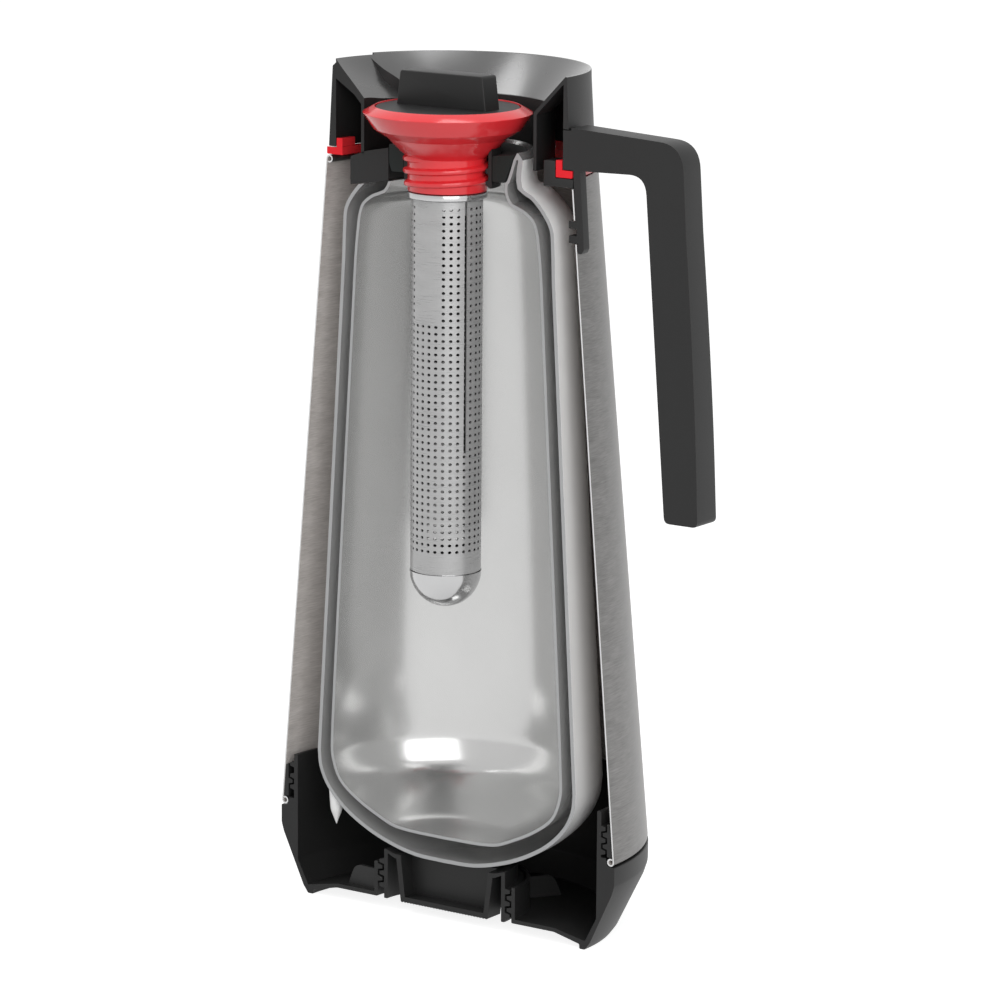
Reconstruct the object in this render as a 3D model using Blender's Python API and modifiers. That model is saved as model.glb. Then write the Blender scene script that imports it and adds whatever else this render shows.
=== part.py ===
"""Insulated glass-lined jug, drawn as a sectioned display model.

The jug's pieces are modelled whole about the Z axis of an empty and then cut by
one section block, which takes away everything in front of the plane through the
spout and the handle. The screw stopper and the infuser under it stay whole.
Lengths are metres, +Z is up, the spout points to -X and the handle to +X.
"""
import math

import bmesh
import bpy
from mathutils import Matrix, Vector

# General clearances and steps
GAP = 0.0003
OVERRUN = 0.002
TURN_STEPS = 48
SMALL_STEPS = 32
TUBE_STEPS = 30
QUARTER_STEP = math.pi / (2 * TURN_STEPS)
MERGE_DISTANCE = 0.00001
SHARP_ANGLE = math.radians(32.0)

# Tapered steel body with a rolled bead at each end
BODY_FOOT_RADIUS = 0.0686
BODY_TOP_RADIUS = 0.0496
BODY_FOOT_Z = 0.0303
BODY_HEIGHT = 0.2267
BODY_TOP_Z = BODY_FOOT_Z + BODY_HEIGHT
SHEET_WALL = 0.0005
BEAD_RADIUS = 0.00133
BEAD_ARC_SHARE = 0.80
BEAD_OUTER_STEPS = 7
BEAD_INNER_STEPS = 4
SNAP_DROP = 0.0171
SNAP_Z = BODY_TOP_Z - SNAP_DROP

# Retaining ring inside the body, and the thread between it and the base cup
THREAD_ROOT_WIDTH = 0.0020
THREAD_CREST_WIDTH = 0.0011
RING_DEPTH = 0.0028
RING_INNER_RADIUS = BODY_FOOT_RADIUS - RING_DEPTH
RING_RISE = 0.0142
RING_TOP_Z = BODY_FOOT_Z + RING_RISE
THREAD_ROOM = 0.0024
THREAD_CREST_GAP = 0.0007
BODY_THREAD_PITCH = 0.0040
BODY_THREAD_TURNS = 2.75
BODY_THREAD_LEAD = 0.0044
BODY_THREAD_START_Z = BODY_FOOT_Z + BODY_THREAD_LEAD

# Moulded base cup
BASE_PROUD = 0.0002
BASE_RADIUS = BODY_FOOT_RADIUS + BASE_PROUD
BASE_BAND_HEIGHT = 0.0067
BASE_BAND_Z = BODY_FOOT_Z - BASE_BAND_HEIGHT
BASE_KNEE_INSET = 0.0010
BASE_KNEE_RADIUS = BASE_RADIUS - BASE_KNEE_INSET
BASE_KNEE_DROP = 0.0032
BASE_KNEE_Z = BASE_BAND_Z - BASE_KNEE_DROP
FOOT_INSET = 0.0114
FOOT_RADIUS = BASE_RADIUS - FOOT_INSET
FOOT_LAND = 0.0022
FOOT_INNER_RADIUS = FOOT_RADIUS - FOOT_LAND
FOOT_STEP_Z = 0.0016
BASE_CONE_FLARE = 0.0020
BASE_CONE_RADIUS = FOOT_RADIUS + BASE_CONE_FLARE
BASE_CONE_Z = 0.0027
BASE_DISH_WIDTH = 0.0102
BASE_DISH_RADIUS = FOOT_INNER_RADIUS - BASE_DISH_WIDTH
BASE_DISH_Z = 0.0040
BASE_FLOOR_WALL = 0.0014
UPSTAND_WALL = 0.0016
UPSTAND_OUTER_RADIUS = RING_INNER_RADIUS - THREAD_ROOM
UPSTAND_INNER_RADIUS = UPSTAND_OUTER_RADIUS - UPSTAND_WALL
UPSTAND_RISE = 0.0040
UPSTAND_TOP_Z = RING_TOP_Z + UPSTAND_RISE
UPSTAND_BEND_Z = 0.0114
BASE_LEDGE_INSET = 0.0004
BASE_LEDGE_RADIUS = RING_INNER_RADIUS - BASE_LEDGE_INSET
BASE_LEDGE_RISE = 0.0025
BASE_LEDGE_Z = BODY_FOOT_Z + BASE_LEDGE_RISE
BODY_THREAD_OUTER_CREST = RING_INNER_RADIUS - THREAD_CREST_GAP
BODY_THREAD_INNER_CREST = UPSTAND_OUTER_RADIUS + THREAD_CREST_GAP

# Double-walled glass liner
LINER_BOTTOM_Z = 0.0203
LIP_RISE = 0.0071
LINER_LIP_Z = BODY_TOP_Z + LIP_RISE
LINER_ROOM = 0.0086
LINER_RADIUS = UPSTAND_INNER_RADIUS - LINER_ROOM
VACUUM_ROOM = 0.0066
VESSEL_RADIUS = LINER_RADIUS - VACUUM_ROOM
LINER_SHOULDER_ROOM = 0.0066
LINER_SHOULDER_RADIUS = BODY_TOP_RADIUS - LINER_SHOULDER_ROOM
VACUUM_SHOULDER_ROOM = 0.0060
VESSEL_SHOULDER_RADIUS = LINER_SHOULDER_RADIUS - VACUUM_SHOULDER_ROOM
VESSEL_FLOOR_RISE = 0.0092
VESSEL_FLOOR_Z = LINER_BOTTOM_Z + VESSEL_FLOOR_RISE
GLASS_WALL = 0.0013
NECK_GLASS_WALL = 0.0020
VESSEL_WALL = 0.0010
LIP_WELD = 0.0026
LINER_NECK_SHARES = ((0.93, 1.000), (1.000, 0.9897), (0.997, 0.9536))
LINER_SHOULDER_SHARES = (
    (0.798, 0.9417),
    (0.902, 0.9229),
    (0.975, 0.9016),
    (0.991, 0.8765),
    (1.000, 0.8314),
)
LINER_OUTER_SHARES = (
    (1.000, 0.1300),
    (0.985, 0.1040),
    (0.921, 0.0770),
    (0.791, 0.0496),
    (0.607, 0.0262),
    (0.415, 0.0107),
    (0.224, 0.0016),
)
VESSEL_NECK_SHARES = ((1.139, 0.9889), (1.035, 0.9591), (1.000, 0.9548), (1.000, 0.9399))
VESSEL_SHOULDER_SHARES = (
    (0.675, 0.9254),
    (0.749, 0.9203),
    (0.832, 0.9143),
    (0.930, 0.9003),
    (0.974, 0.8678),
    (1.000, 0.8252),
)
VESSEL_SHARES = (
    (0.977, 0.2114),
    (1.000, 0.1172),
    (0.996, 0.0891),
    (0.931, 0.0575),
    (0.785, 0.0345),
    (0.605, 0.0162),
    (0.423, 0.0030),
)
TIP_INSET = 0.0056
TIP_PLACE_RADIUS = LINER_RADIUS - TIP_INSET
TIP_PLACE_Y = 0.0031
TIP_RADIUS = 0.0023
TIP_POINT_RISE = 0.0051
TIP_POINT_Z = LINER_BOTTOM_Z + TIP_POINT_RISE
TIP_LENGTH = 0.0136
TIP_ROOT_Z = TIP_POINT_Z + TIP_LENGTH
TIP_SHARES = ((1.0, 0.52), (0.86, 0.38), (0.36, 0.16))

# Screw plug that carries the glass, and the base cup's tube round it
PLUG_RADIUS = 0.0250
PLUG_WALL = 0.0015
PLUG_FOOT_Z = 0.0038
PLUG_RIM_RISE = 0.0010
PLUG_TOP_Z = LINER_BOTTOM_Z + PLUG_RIM_RISE
PLUG_ROOF_INSET = 0.0044
PLUG_ROOF_RADIUS = PLUG_RADIUS - PLUG_ROOF_INSET
PLUG_ROOF_WALL = 0.0015
PLUG_THREAD_ROOM = 0.0027
PLUG_CREST_GAP = 0.0007
PLUG_THREAD_PITCH = 0.0042
PLUG_THREAD_TURNS = 2.75
PLUG_THREAD_LEAD = 0.0024
PLUG_THREAD_START_Z = PLUG_FOOT_Z + PLUG_THREAD_LEAD
TUBE_THREAD_HEIGHT = 0.0019
TUBE_THREAD_TURNS = 2.25
BAR_INSET = 0.0006
BAR_TAPER = 0.0020
BAR_HALF_LENGTH = PLUG_ROOF_RADIUS - BAR_INSET
BAR_FOOT_HALF_LENGTH = BAR_HALF_LENGTH - BAR_TAPER
BAR_HALF_WIDTH = 0.0075
BAR_WALL = 0.0017
BASE_TUBE_INNER_RADIUS = PLUG_RADIUS + PLUG_THREAD_ROOM
BASE_TUBE_WALL = 0.0014
BASE_TUBE_DROP = 0.0039
BASE_TUBE_TOP_Z = LINER_BOTTOM_Z - BASE_TUBE_DROP
PLUG_THREAD_CREST = BASE_TUBE_INNER_RADIUS - PLUG_CREST_GAP
TUBE_THREAD_CREST = BASE_TUBE_INNER_RADIUS - TUBE_THREAD_HEIGHT

# Gussets between the base cup's floor and its tube
RIB_COUNT = 6
RIB_FIRST_ANGLE = math.radians(55.0)
RIB_WALL = 0.0014
RIB_DROP = 0.0036
RIB_TOP_Z = BASE_TUBE_TOP_Z - RIB_DROP
RIB_SHOULDER_REACH = 0.0095
RIB_SHOULDER_RADIUS = BASE_TUBE_INNER_RADIUS + RIB_SHOULDER_REACH
RIB_TOE_REACH = 0.0052
RIB_END_RADIUS = RIB_SHOULDER_RADIUS + RIB_TOE_REACH
RIB_SHOULDER_SHARES = ((0.36, 0.90), (0.62, 0.68))

# Red trim ring with its clip tabs
COLLAR_INSET = 0.0011
COLLAR_WALL = 0.0029
COLLAR_FOOT_RADIUS = BODY_TOP_RADIUS - COLLAR_INSET
COLLAR_INNER_RADIUS = COLLAR_FOOT_RADIUS - COLLAR_WALL
TRIM_INSET = 0.0003
TRIM_RADIUS = BODY_TOP_RADIUS - TRIM_INSET
TRIM_WALL = 0.0024
TRIM_FOOT_Z = BODY_TOP_Z + GAP
TRIM_TOP_Z = TRIM_FOOT_Z + TRIM_WALL
TAB_OUTER_RADIUS = COLLAR_INNER_RADIUS - GAP
TAB_INNER_RADIUS = TAB_OUTER_RADIUS - TRIM_WALL
TAB_HEIGHT = 0.0032
TAB_TOP_Z = TRIM_TOP_Z + TAB_HEIGHT
TAB_COUNT = 12
TAB_SHARE = 0.57

# Collar with its pouring bowl and spout
COLLAR_HEIGHT = 0.0300
COLLAR_FOOT_Z = TRIM_TOP_Z + GAP
RIM_Z = COLLAR_FOOT_Z + COLLAR_HEIGHT
COLLAR_TAPER = 0.0015
COLLAR_WAIST_RADIUS = COLLAR_FOOT_RADIUS - COLLAR_TAPER
RIM_BAND = 0.0034
COLLAR_WAIST_Z = RIM_Z - RIM_BAND
RIM_TAPER = 0.0001
RIM_RADIUS = COLLAR_WAIST_RADIUS - RIM_TAPER
RIM_LAND = 0.0006
BOWL_SHARE = 0.275
BOWL_WIDTH = BOWL_SHARE * RIM_RADIUS
THROAT_RADIUS = RIM_RADIUS - BOWL_WIDTH
THROAT_WALL = 0.0012
BOWL_DEPTH = 0.0125
BOWL_FOOT_Z = RIM_Z - BOWL_DEPTH
BOWL_WALL = 0.0017
THROAT_LIFT = 0.0002
THROAT_FOOT_Z = COLLAR_FOOT_Z + THROAT_LIFT
SPOUT_HALF_WIDTH = 0.0146
SPOUT_LIFT = 0.0008
SPOUT_SLOPE_SHARE = 0.302
SPOUT_SLOPE_X = RIM_RADIUS - SPOUT_SLOPE_SHARE * BOWL_WIDTH
SPOUT_SLOPE_DEPTH = 0.0003
SPOUT_SLOPE_BOW = 0.0010
SPOUT_SLOPE_EDGE_X = SPOUT_SLOPE_X - SPOUT_SLOPE_BOW
SPOUT_SLOPE_HALF_WIDTH = 0.0150
SPOUT_SLOPE_EDGE_DEPTH = 0.0012
SPOUT_BED_SHARE = 0.690
SPOUT_BED_X = RIM_RADIUS - SPOUT_BED_SHARE * BOWL_WIDTH
SPOUT_BED_HALF_WIDTH = 0.0163
SPOUT_BED_DEPTH = 0.0087
SPOUT_BED_Z = RIM_Z - SPOUT_BED_DEPTH
SPOUT_STEP = 0.0010
SPOUT_MOUTH_INSET = 0.0005
SPOUT_MOUTH_X = THROAT_RADIUS - SPOUT_MOUTH_INSET
SPOUT_MOUTH_HALF_WIDTH = 0.0185
SPOUT_MOUTH_Z = BOWL_FOOT_Z - SPOUT_STEP
SPOUT_MOUTH_EDGE_RISE = 0.0010
SPOUT_END_RADIUS = THROAT_RADIUS - SPOUT_STEP
SPOUT_END_HALF_WIDTH = 0.0193
SPOUT_END_Z = SPOUT_MOUTH_Z - SPOUT_STEP
SPOUT_WALL = 0.0013
TROUGH_DEPTH = 0.0068
TROUGH_OUTER_Z = RIM_Z - TROUGH_DEPTH
TROUGH_BED_WALL = 0.0034
TROUGH_BED_Z = SPOUT_BED_Z - TROUGH_BED_WALL
TROUGH_THROAT_WALL = 0.0012
TROUGH_THROAT_Z = SPOUT_END_Z - TROUGH_THROAT_WALL
SPOUT_ACROSS = 7
DRIP_DEPTH = 0.0014
DRIP_DEPTH_RADIUS = COLLAR_WAIST_RADIUS - DRIP_DEPTH
DRIP_ROOF = 0.0019
DRIP_DEPTH_Z = RIM_Z - DRIP_ROOF
DRIP_FOOT_Z = COLLAR_WAIST_Z
DRIP_LIP = 0.0010
DRIP_LIP_RADIUS = RIM_RADIUS - DRIP_LIP
DRIP_HALF_ANGLE = math.radians(22.0)

# Glass neck, which stands inside the collar's throat
NECK_ROOM = 0.0041
LINER_NECK_RADIUS = THROAT_RADIUS - NECK_ROOM
VESSEL_NECK_SHARE = 0.7726
VESSEL_NECK_RADIUS = VESSEL_NECK_SHARE * LINER_NECK_RADIUS

# Saddle between the glass and the collar on the spout side
SADDLE_INNER_GAP = 0.0009
SADDLE_INNER_RADIUS = VESSEL_NECK_RADIUS + SADDLE_INNER_GAP
SADDLE_ROOM = 0.0033
SADDLE_OUTER_RADIUS = TAB_INNER_RADIUS - SADDLE_ROOM
SADDLE_TOP_DEPTH = 0.0028
SADDLE_INNER_TOP_Z = LINER_LIP_Z - SADDLE_TOP_DEPTH
SADDLE_SHOULDER_INSET = 0.0008
SADDLE_SHOULDER_RADIUS = THROAT_RADIUS - SADDLE_SHOULDER_INSET
SADDLE_CHAMFER = 0.0018
SADDLE_SHOULDER_Z = SADDLE_INNER_TOP_Z - SADDLE_CHAMFER
SADDLE_FALL = 0.0023
SADDLE_OUTER_TOP_Z = SADDLE_SHOULDER_Z - SADDLE_FALL
SADDLE_THICKNESS = 0.0109
SADDLE_INNER_FOOT_Z = SADDLE_INNER_TOP_Z - SADDLE_THICKNESS
SADDLE_FOOT_FALL = 0.0025
SADDLE_OUTER_FOOT_Z = SADDLE_INNER_FOOT_Z - SADDLE_FOOT_FALL
SADDLE_FIRST_ANGLE = math.radians(150.0)
SADDLE_SIDE_GAP_ANGLE = math.radians(2.0)
PAST_SECTION_ANGLE = math.radians(190.0)

# Stopper with its sealing flange, thread and grip
THROAT_CLEARANCE = 0.0060
STOPPER_RADIUS = THROAT_RADIUS - THROAT_CLEARANCE
STOPPER_SINK = 0.0127
STOPPER_RIM_Z = RIM_Z - STOPPER_SINK
STOPPER_BEVEL = 0.0022
STOPPER_EDGE_Z = STOPPER_RIM_Z - STOPPER_BEVEL
RECESS_RIM = 0.0040
RECESS_RADIUS = STOPPER_RADIUS - RECESS_RIM
RECESS_DEPTH = 0.0033
RECESS_Z = STOPPER_RIM_Z - RECESS_DEPTH
SEAL_GROOVE_INSET = 0.0035
SEAL_GROOVE_RADIUS = STOPPER_RADIUS - SEAL_GROOVE_INSET
SEAL_FLANGE_HEIGHT = 0.0053
SEAL_GROOVE_Z = STOPPER_EDGE_Z - SEAL_FLANGE_HEIGHT
SEAL_GROOVE_DEPTH = 0.0022
SEAL_GROOVE_HEIGHT = 0.0028
SEAL_CONE_INSET = 0.0080
SEAL_CONE_RADIUS = STOPPER_RADIUS - SEAL_CONE_INSET
SEAL_CONE_Z = SEAL_GROOVE_Z - SEAL_GROOVE_HEIGHT
SEAL_CORE_SHARE = 0.5714
SEAL_CORE_RADIUS = SEAL_CORE_SHARE * VESSEL_NECK_RADIUS
SEAL_CONE_FOOT_STEP = 0.0028
SEAL_CONE_FOOT_RADIUS = SEAL_CORE_RADIUS + SEAL_CONE_FOOT_STEP
SEAL_CONE_HEIGHT = 0.0043
SEAL_CONE_FOOT_Z = SEAL_CONE_Z - SEAL_CONE_HEIGHT
SEAL_FILLET_HEIGHT = 0.0021
SEAL_CORE_TOP_Z = SEAL_CONE_FOOT_Z - SEAL_FILLET_HEIGHT
SEAL_CORE_LENGTH = 0.0111
SEAL_CORE_FOOT_Z = SEAL_CORE_TOP_Z - SEAL_CORE_LENGTH
SPIGOT_STEP = 0.0034
SPIGOT_RADIUS = SEAL_CORE_RADIUS - SPIGOT_STEP
SPIGOT_LENGTH = 0.0065
SPIGOT_FOOT_Z = SEAL_CORE_FOOT_Z - SPIGOT_LENGTH
STOPPER_THREAD_HEIGHT = 0.00155
STOPPER_THREAD_CREST = SEAL_CORE_RADIUS + STOPPER_THREAD_HEIGHT
STOPPER_THREAD_PITCH = 0.00405
STOPPER_THREAD_TURNS = 2.25
STOPPER_THREAD_LEAD = 0.0013
STOPPER_THREAD_START_Z = SEAL_CORE_FOOT_Z + STOPPER_THREAD_LEAD
STOPPER_THREAD_ROOT_WIDTH = 0.0022
STOPPER_THREAD_CREST_WIDTH = 0.0012
CAP_WALL = 0.0026
GRIP_HALF_THICKNESS = 0.00405
GRIP_HEIGHT = 0.0102
GRIP_TOP_Z = STOPPER_RIM_Z + GRIP_HEIGHT
GRIP_END_ROOM = 0.0060
GRIP_TAPER = 0.0016
GRIP_FOOT_HALF_LENGTH = RECESS_RADIUS - GRIP_END_ROOM
GRIP_TOP_HALF_LENGTH = GRIP_FOOT_HALF_LENGTH - GRIP_TAPER
GRIP_CORNER = 0.0016

# Threaded sleeve and rubber neck seal
THREAD_RUNNING_GAP = 0.00045
SLEEVE_THREAD_CREST = STOPPER_THREAD_CREST + THREAD_RUNNING_GAP
SLEEVE_THREAD_HEIGHT = 0.0011
SLEEVE_INNER_RADIUS = SLEEVE_THREAD_CREST + SLEEVE_THREAD_HEIGHT
SLEEVE_WALL = 0.0013
SLEEVE_FOOT_LIFT = 0.0018
SLEEVE_FOOT_Z = SEAL_CORE_FOOT_Z + SLEEVE_FOOT_LIFT
SLEEVE_THREAD_TURNS = 2.0
SLEEVE_THREAD_LEAD = 0.0015
SLEEVE_THREAD_START_Z = SLEEVE_FOOT_Z + SLEEVE_THREAD_LEAD
NECK_SEAL_FOOT_DEPTH = 0.0105
NECK_SEAL_FOOT_Z = LINER_LIP_Z - NECK_SEAL_FOOT_DEPTH
NECK_SEAL_FOOT_SHARE = 0.978
NECK_SEAL_SHOULDER_SHARE = 1.117
NECK_SEAL_TOP_SHARE = 1.1255
NECK_SEAL_SHOULDER_DEPTH = 0.0028
NECK_SEAL_SHOULDER_Z = LINER_LIP_Z - NECK_SEAL_SHOULDER_DEPTH
NECK_SEAL_TOP_DEPTH = 0.0012
NECK_SEAL_TOP_Z = LINER_LIP_Z - NECK_SEAL_TOP_DEPTH
NECK_SEAL_INNER_DEPTH = 0.0021
NECK_SEAL_INNER_TOP_Z = LINER_LIP_Z - NECK_SEAL_INNER_DEPTH

# Infuser under the stopper
FLANGE_RADIUS = SEAL_CORE_RADIUS
FLANGE_TOP_Z = SEAL_CORE_FOOT_Z - GAP
FLANGE_THICKNESS = 0.0020
FLANGE_STEP = 0.0014
INFUSER_RADIUS = FLANGE_RADIUS - FLANGE_STEP
INFUSER_WALL = 0.0005
INFUSER_SLEEVE_LENGTH = 0.0072
INFUSER_SLEEVE_Z = FLANGE_TOP_Z - INFUSER_SLEEVE_LENGTH
INFUSER_LENGTH = 0.1269
INFUSER_FOOT_Z = FLANGE_TOP_Z - INFUSER_LENGTH
INFUSER_SLOT_ANGLE = math.radians(-23.3)
INFUSER_SLOT_WIDTH = 0.0010
INFUSER_SLOT_LENGTH = 0.0850
INFUSER_SLOT_FOOT_Z = FLANGE_TOP_Z - INFUSER_SLOT_LENGTH
HOLE_WIDTH = 0.0011
HOLE_FIRST_ANGLE = math.radians(-72.3)
HOLE_ROW_PITCH = 0.0186
HOLE_TOP_DROP = 0.0142
HOLE_TOP_Z = FLANGE_TOP_Z - HOLE_TOP_DROP
HOLE_ROWS = 6
HOLE_COLUMN_STEP = 3
TIP_CAP_PROUD = 0.0002
TIP_CAP_RADIUS = INFUSER_RADIUS + TIP_CAP_PROUD
TIP_CAP_WALL = 0.0006
TIP_CAP_LENGTH = 0.0128
TIP_CAP_BOTTOM_Z = INFUSER_FOOT_Z - TIP_CAP_LENGTH
TIP_CAP_SLEEVE_LENGTH = 0.0037
TIP_CAP_SLEEVE_Z = INFUSER_FOOT_Z + TIP_CAP_SLEEVE_LENGTH
TIP_CAP_SHARES = ((0.96, 0.72), (0.80, 0.40), (0.55, 0.165), (0.25, 0.032))

# Inner bracket that ties the handle to the body
BRACKET_LEG_WALL = 0.0045
BRACKET_INNER_RADIUS = TAB_INNER_RADIUS - GAP - BRACKET_LEG_WALL
BRACKET_HEIGHT = 0.0084
BRACKET_DROP = 0.0004
BRACKET_TOP_Z = TAB_TOP_Z - BRACKET_DROP
BRACKET_FOOT_Z = BRACKET_TOP_Z - BRACKET_HEIGHT
BRACKET_HALF_WIDTH = 0.0080
BRACKET_TONGUE_HALF_WIDTH = 0.0032
BRACKET_STEP_Z = TRIM_FOOT_Z - GAP

# Handle
HANDLE_SPAN = 0.0506
HANDLE_REACH = COLLAR_FOOT_RADIUS + HANDLE_SPAN
HANDLE_LEAN = 0.0078
HANDLE_CROWN_X = HANDLE_REACH - HANDLE_LEAN
GRIP_DEPTH_AT_TOP = 0.0139
HANDLE_ELBOW_X = HANDLE_CROWN_X - GRIP_DEPTH_AT_TOP
GRIP_DEPTH_AT_FOOT = 0.0128
HANDLE_FOOT_X = HANDLE_REACH - GRIP_DEPTH_AT_FOOT
HANDLE_ARM_RISE = 0.0137
HANDLE_ARM_TOP_Z = COLLAR_FOOT_Z + HANDLE_ARM_RISE
HANDLE_ARM_THICKNESS = 0.0138
HANDLE_ARM_FOOT_Z = HANDLE_ARM_TOP_Z - HANDLE_ARM_THICKNESS
HANDLE_CROWN_FALL = 0.0022
HANDLE_ELBOW_RISE = 0.0007
HANDLE_LENGTH = 0.1254
HANDLE_FOOT_Z = HANDLE_ARM_TOP_Z - HANDLE_LENGTH
HANDLE_CROWN_FILLET = 0.0086
HANDLE_ELBOW_FILLET = 0.0062
HANDLE_TOE_FILLET = 0.0020
HANDLE_GRIP_SHARES = ((0.83, 0.27), (0.56, 0.56), (0.23, 0.85))
HANDLE_ARM_HALF_WIDTH = 0.0112
HANDLE_FOOT_HALF_WIDTH = 0.0124
HANDLE_EDGE = 0.0014
HANDLE_ROOT_DROP = 0.0009
HANDLE_ROOT_TOP_Z = HANDLE_ARM_TOP_Z - HANDLE_ROOT_DROP
HANDLE_ROOT_HALF_WIDTH = 0.0080
TAIL_HALF_WIDTH = 0.0035
TAIL_WALL = 0.0023
TAIL_DROP = 0.0240
TAIL_FOOT_Z = BODY_TOP_Z - TAIL_DROP
TAIL_TOE = 0.0016
STUD_RADIUS = 0.0036
STUD_SLOT = 0.0023
STUD_REACH = 0.0027
STUD_SIDES = 16

# Looks
STEEL_COLOR = (0.42, 0.40, 0.38, 1.0)
BLACK_COLOR = (0.016, 0.016, 0.017, 1.0)
RUBBER_COLOR = (0.010, 0.011, 0.011, 1.0)
RED_COLOR = (0.72, 0.03, 0.04, 1.0)
GLASS_COLOR = (0.72, 0.73, 0.74, 1.0)

Outline = list[tuple[float, float]]


def polar(radius, angle):
    """Point in plan at a radius and an angle from +X."""
    return radius * math.cos(angle), radius * math.sin(angle)


def sheet_radius(height):
    """Outer radius of the tapered steel body at a height."""
    foot = BODY_FOOT_Z + BEAD_RADIUS
    top = BODY_TOP_Z - BEAD_RADIUS
    share = (height - foot) / (top - foot)
    return BODY_FOOT_RADIUS + share * (BODY_TOP_RADIUS - BODY_FOOT_RADIUS)


def bowl_height(radius):
    """Height of the pouring bowl's cone at a radius."""
    edge = RIM_RADIUS - RIM_LAND
    share = (radius - THROAT_RADIUS) / (edge - THROAT_RADIUS)
    return BOWL_FOOT_Z + share * (RIM_Z - BOWL_FOOT_Z)


def fillet(corner, before, after, size, steps=3):
    """Rounds one corner of an outline with a quadratic curve of a given reach."""
    corner, before, after = Vector(corner), Vector(before), Vector(after)
    start = corner + (before - corner).normalized() * size
    end = corner + (after - corner).normalized() * size
    points = []
    for index in range(steps + 1):
        share = index / steps
        low = start.lerp(corner, share)
        high = corner.lerp(end, share)
        points.append(tuple(low.lerp(high, share)))
    return points


def bead_points(center, radius, steps, upward):
    """Arc of a rolled bead from the body's outer side inward and round."""
    points = []
    sweep = BEAD_ARC_SHARE * math.tau
    side = 1 if upward else -1
    for index in range(steps + 1):
        angle = side * sweep * index / steps
        points.append((center[0] + radius * math.cos(angle), center[1] + radius * math.sin(angle)))
    return points


def body_profile():
    """Closed section of the sheet with its two rolled beads."""
    top = (BODY_TOP_RADIUS - BEAD_RADIUS, BODY_TOP_Z - BEAD_RADIUS)
    foot = (BODY_FOOT_RADIUS - BEAD_RADIUS, BODY_FOOT_Z + BEAD_RADIUS)
    inner = BEAD_RADIUS - SHEET_WALL
    points = list(reversed(bead_points(top, BEAD_RADIUS, BEAD_OUTER_STEPS, True)))
    points += bead_points(foot, BEAD_RADIUS, BEAD_OUTER_STEPS, False)
    points += list(reversed(bead_points(foot, inner, BEAD_INNER_STEPS, False)))
    points += bead_points(top, inner, BEAD_INNER_STEPS, True)
    return points


def base_profile():
    """Closed section of the base cup, down its outside and back up inside."""
    bead_x = BODY_FOOT_RADIUS - BEAD_RADIUS
    bead_z = BODY_FOOT_Z + BEAD_RADIUS
    seat_steps = 2
    seat = (BEAD_RADIUS + GAP) / math.cos(math.pi / (4 * seat_steps))
    groove = []
    for index in range(seat_steps + 1):
        angle = math.pi + index * math.pi / (2 * seat_steps)
        groove.append((bead_x + seat * math.cos(angle), bead_z + seat * math.sin(angle)))
    floor_z = BASE_DISH_Z + BASE_FLOOR_WALL
    tube_radius = BASE_TUBE_INNER_RADIUS + BASE_TUBE_WALL
    points = [
        (UPSTAND_OUTER_RADIUS, UPSTAND_TOP_Z),
        (UPSTAND_OUTER_RADIUS, BASE_LEDGE_Z),
        (BASE_LEDGE_RADIUS, BASE_LEDGE_Z),
    ]
    points += groove
    points += [
        (BASE_RADIUS, groove[-1][1]),
        (BASE_RADIUS, BASE_BAND_Z),
        (BASE_KNEE_RADIUS, BASE_KNEE_Z),
        (BASE_CONE_RADIUS, BASE_CONE_Z),
        (FOOT_RADIUS, 0.0),
        (FOOT_INNER_RADIUS, 0.0),
        (FOOT_INNER_RADIUS, FOOT_STEP_Z),
        (BASE_DISH_RADIUS, BASE_DISH_Z),
        (BASE_TUBE_INNER_RADIUS, BASE_DISH_Z),
        (BASE_TUBE_INNER_RADIUS, BASE_TUBE_TOP_Z),
        (tube_radius, BASE_TUBE_TOP_Z),
        (tube_radius, floor_z),
        (BASE_DISH_RADIUS, floor_z),
        (FOOT_RADIUS, FOOT_STEP_Z + BASE_FLOOR_WALL),
        (UPSTAND_INNER_RADIUS, UPSTAND_BEND_Z),
        (UPSTAND_INNER_RADIUS, UPSTAND_TOP_Z),
    ]
    return points


def rib_outline():
    """Radial gusset between the floor and the tube, buried in both."""
    root_x = BASE_TUBE_INNER_RADIUS + BASE_TUBE_WALL / 2
    foot_z = BASE_DISH_Z + BASE_FLOOR_WALL / 2
    points = [(root_x, foot_z), (RIB_END_RADIUS, foot_z)]
    for run, rise in reversed(RIB_SHOULDER_SHARES):
        x = RIB_SHOULDER_RADIUS + run * (RIB_END_RADIUS - RIB_SHOULDER_RADIUS)
        points.append((x, foot_z + rise * (RIB_TOP_Z - foot_z)))
    points.append((RIB_SHOULDER_RADIUS, RIB_TOP_Z))
    points.append((root_x, RIB_TOP_Z))
    return points


def ring_profile():
    """Section of the retaining ring that lies inside the steel on its bead."""
    foot_z = BODY_FOOT_Z + 2 * BEAD_RADIUS + GAP
    inset = SHEET_WALL + GAP
    return [
        (sheet_radius(RING_TOP_Z) - inset, RING_TOP_Z),
        (sheet_radius(foot_z) - inset, foot_z),
        (RING_INNER_RADIUS, foot_z),
        (RING_INNER_RADIUS, RING_TOP_Z),
    ]


def plug_profile():
    """Half section of the screw plug, open below, with its roof on the axis."""
    roof_z = LINER_BOTTOM_Z - GAP
    inner = PLUG_RADIUS - PLUG_WALL
    return [
        (0.0, roof_z),
        (PLUG_ROOF_RADIUS, roof_z),
        (PLUG_RADIUS, PLUG_TOP_Z),
        (PLUG_RADIUS, PLUG_FOOT_Z),
        (inner, PLUG_FOOT_Z),
        (inner, PLUG_TOP_Z - PLUG_ROOF_WALL),
        (PLUG_ROOF_RADIUS, roof_z - PLUG_ROOF_WALL),
        (0.0, roof_z - PLUG_ROOF_WALL),
    ]


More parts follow.
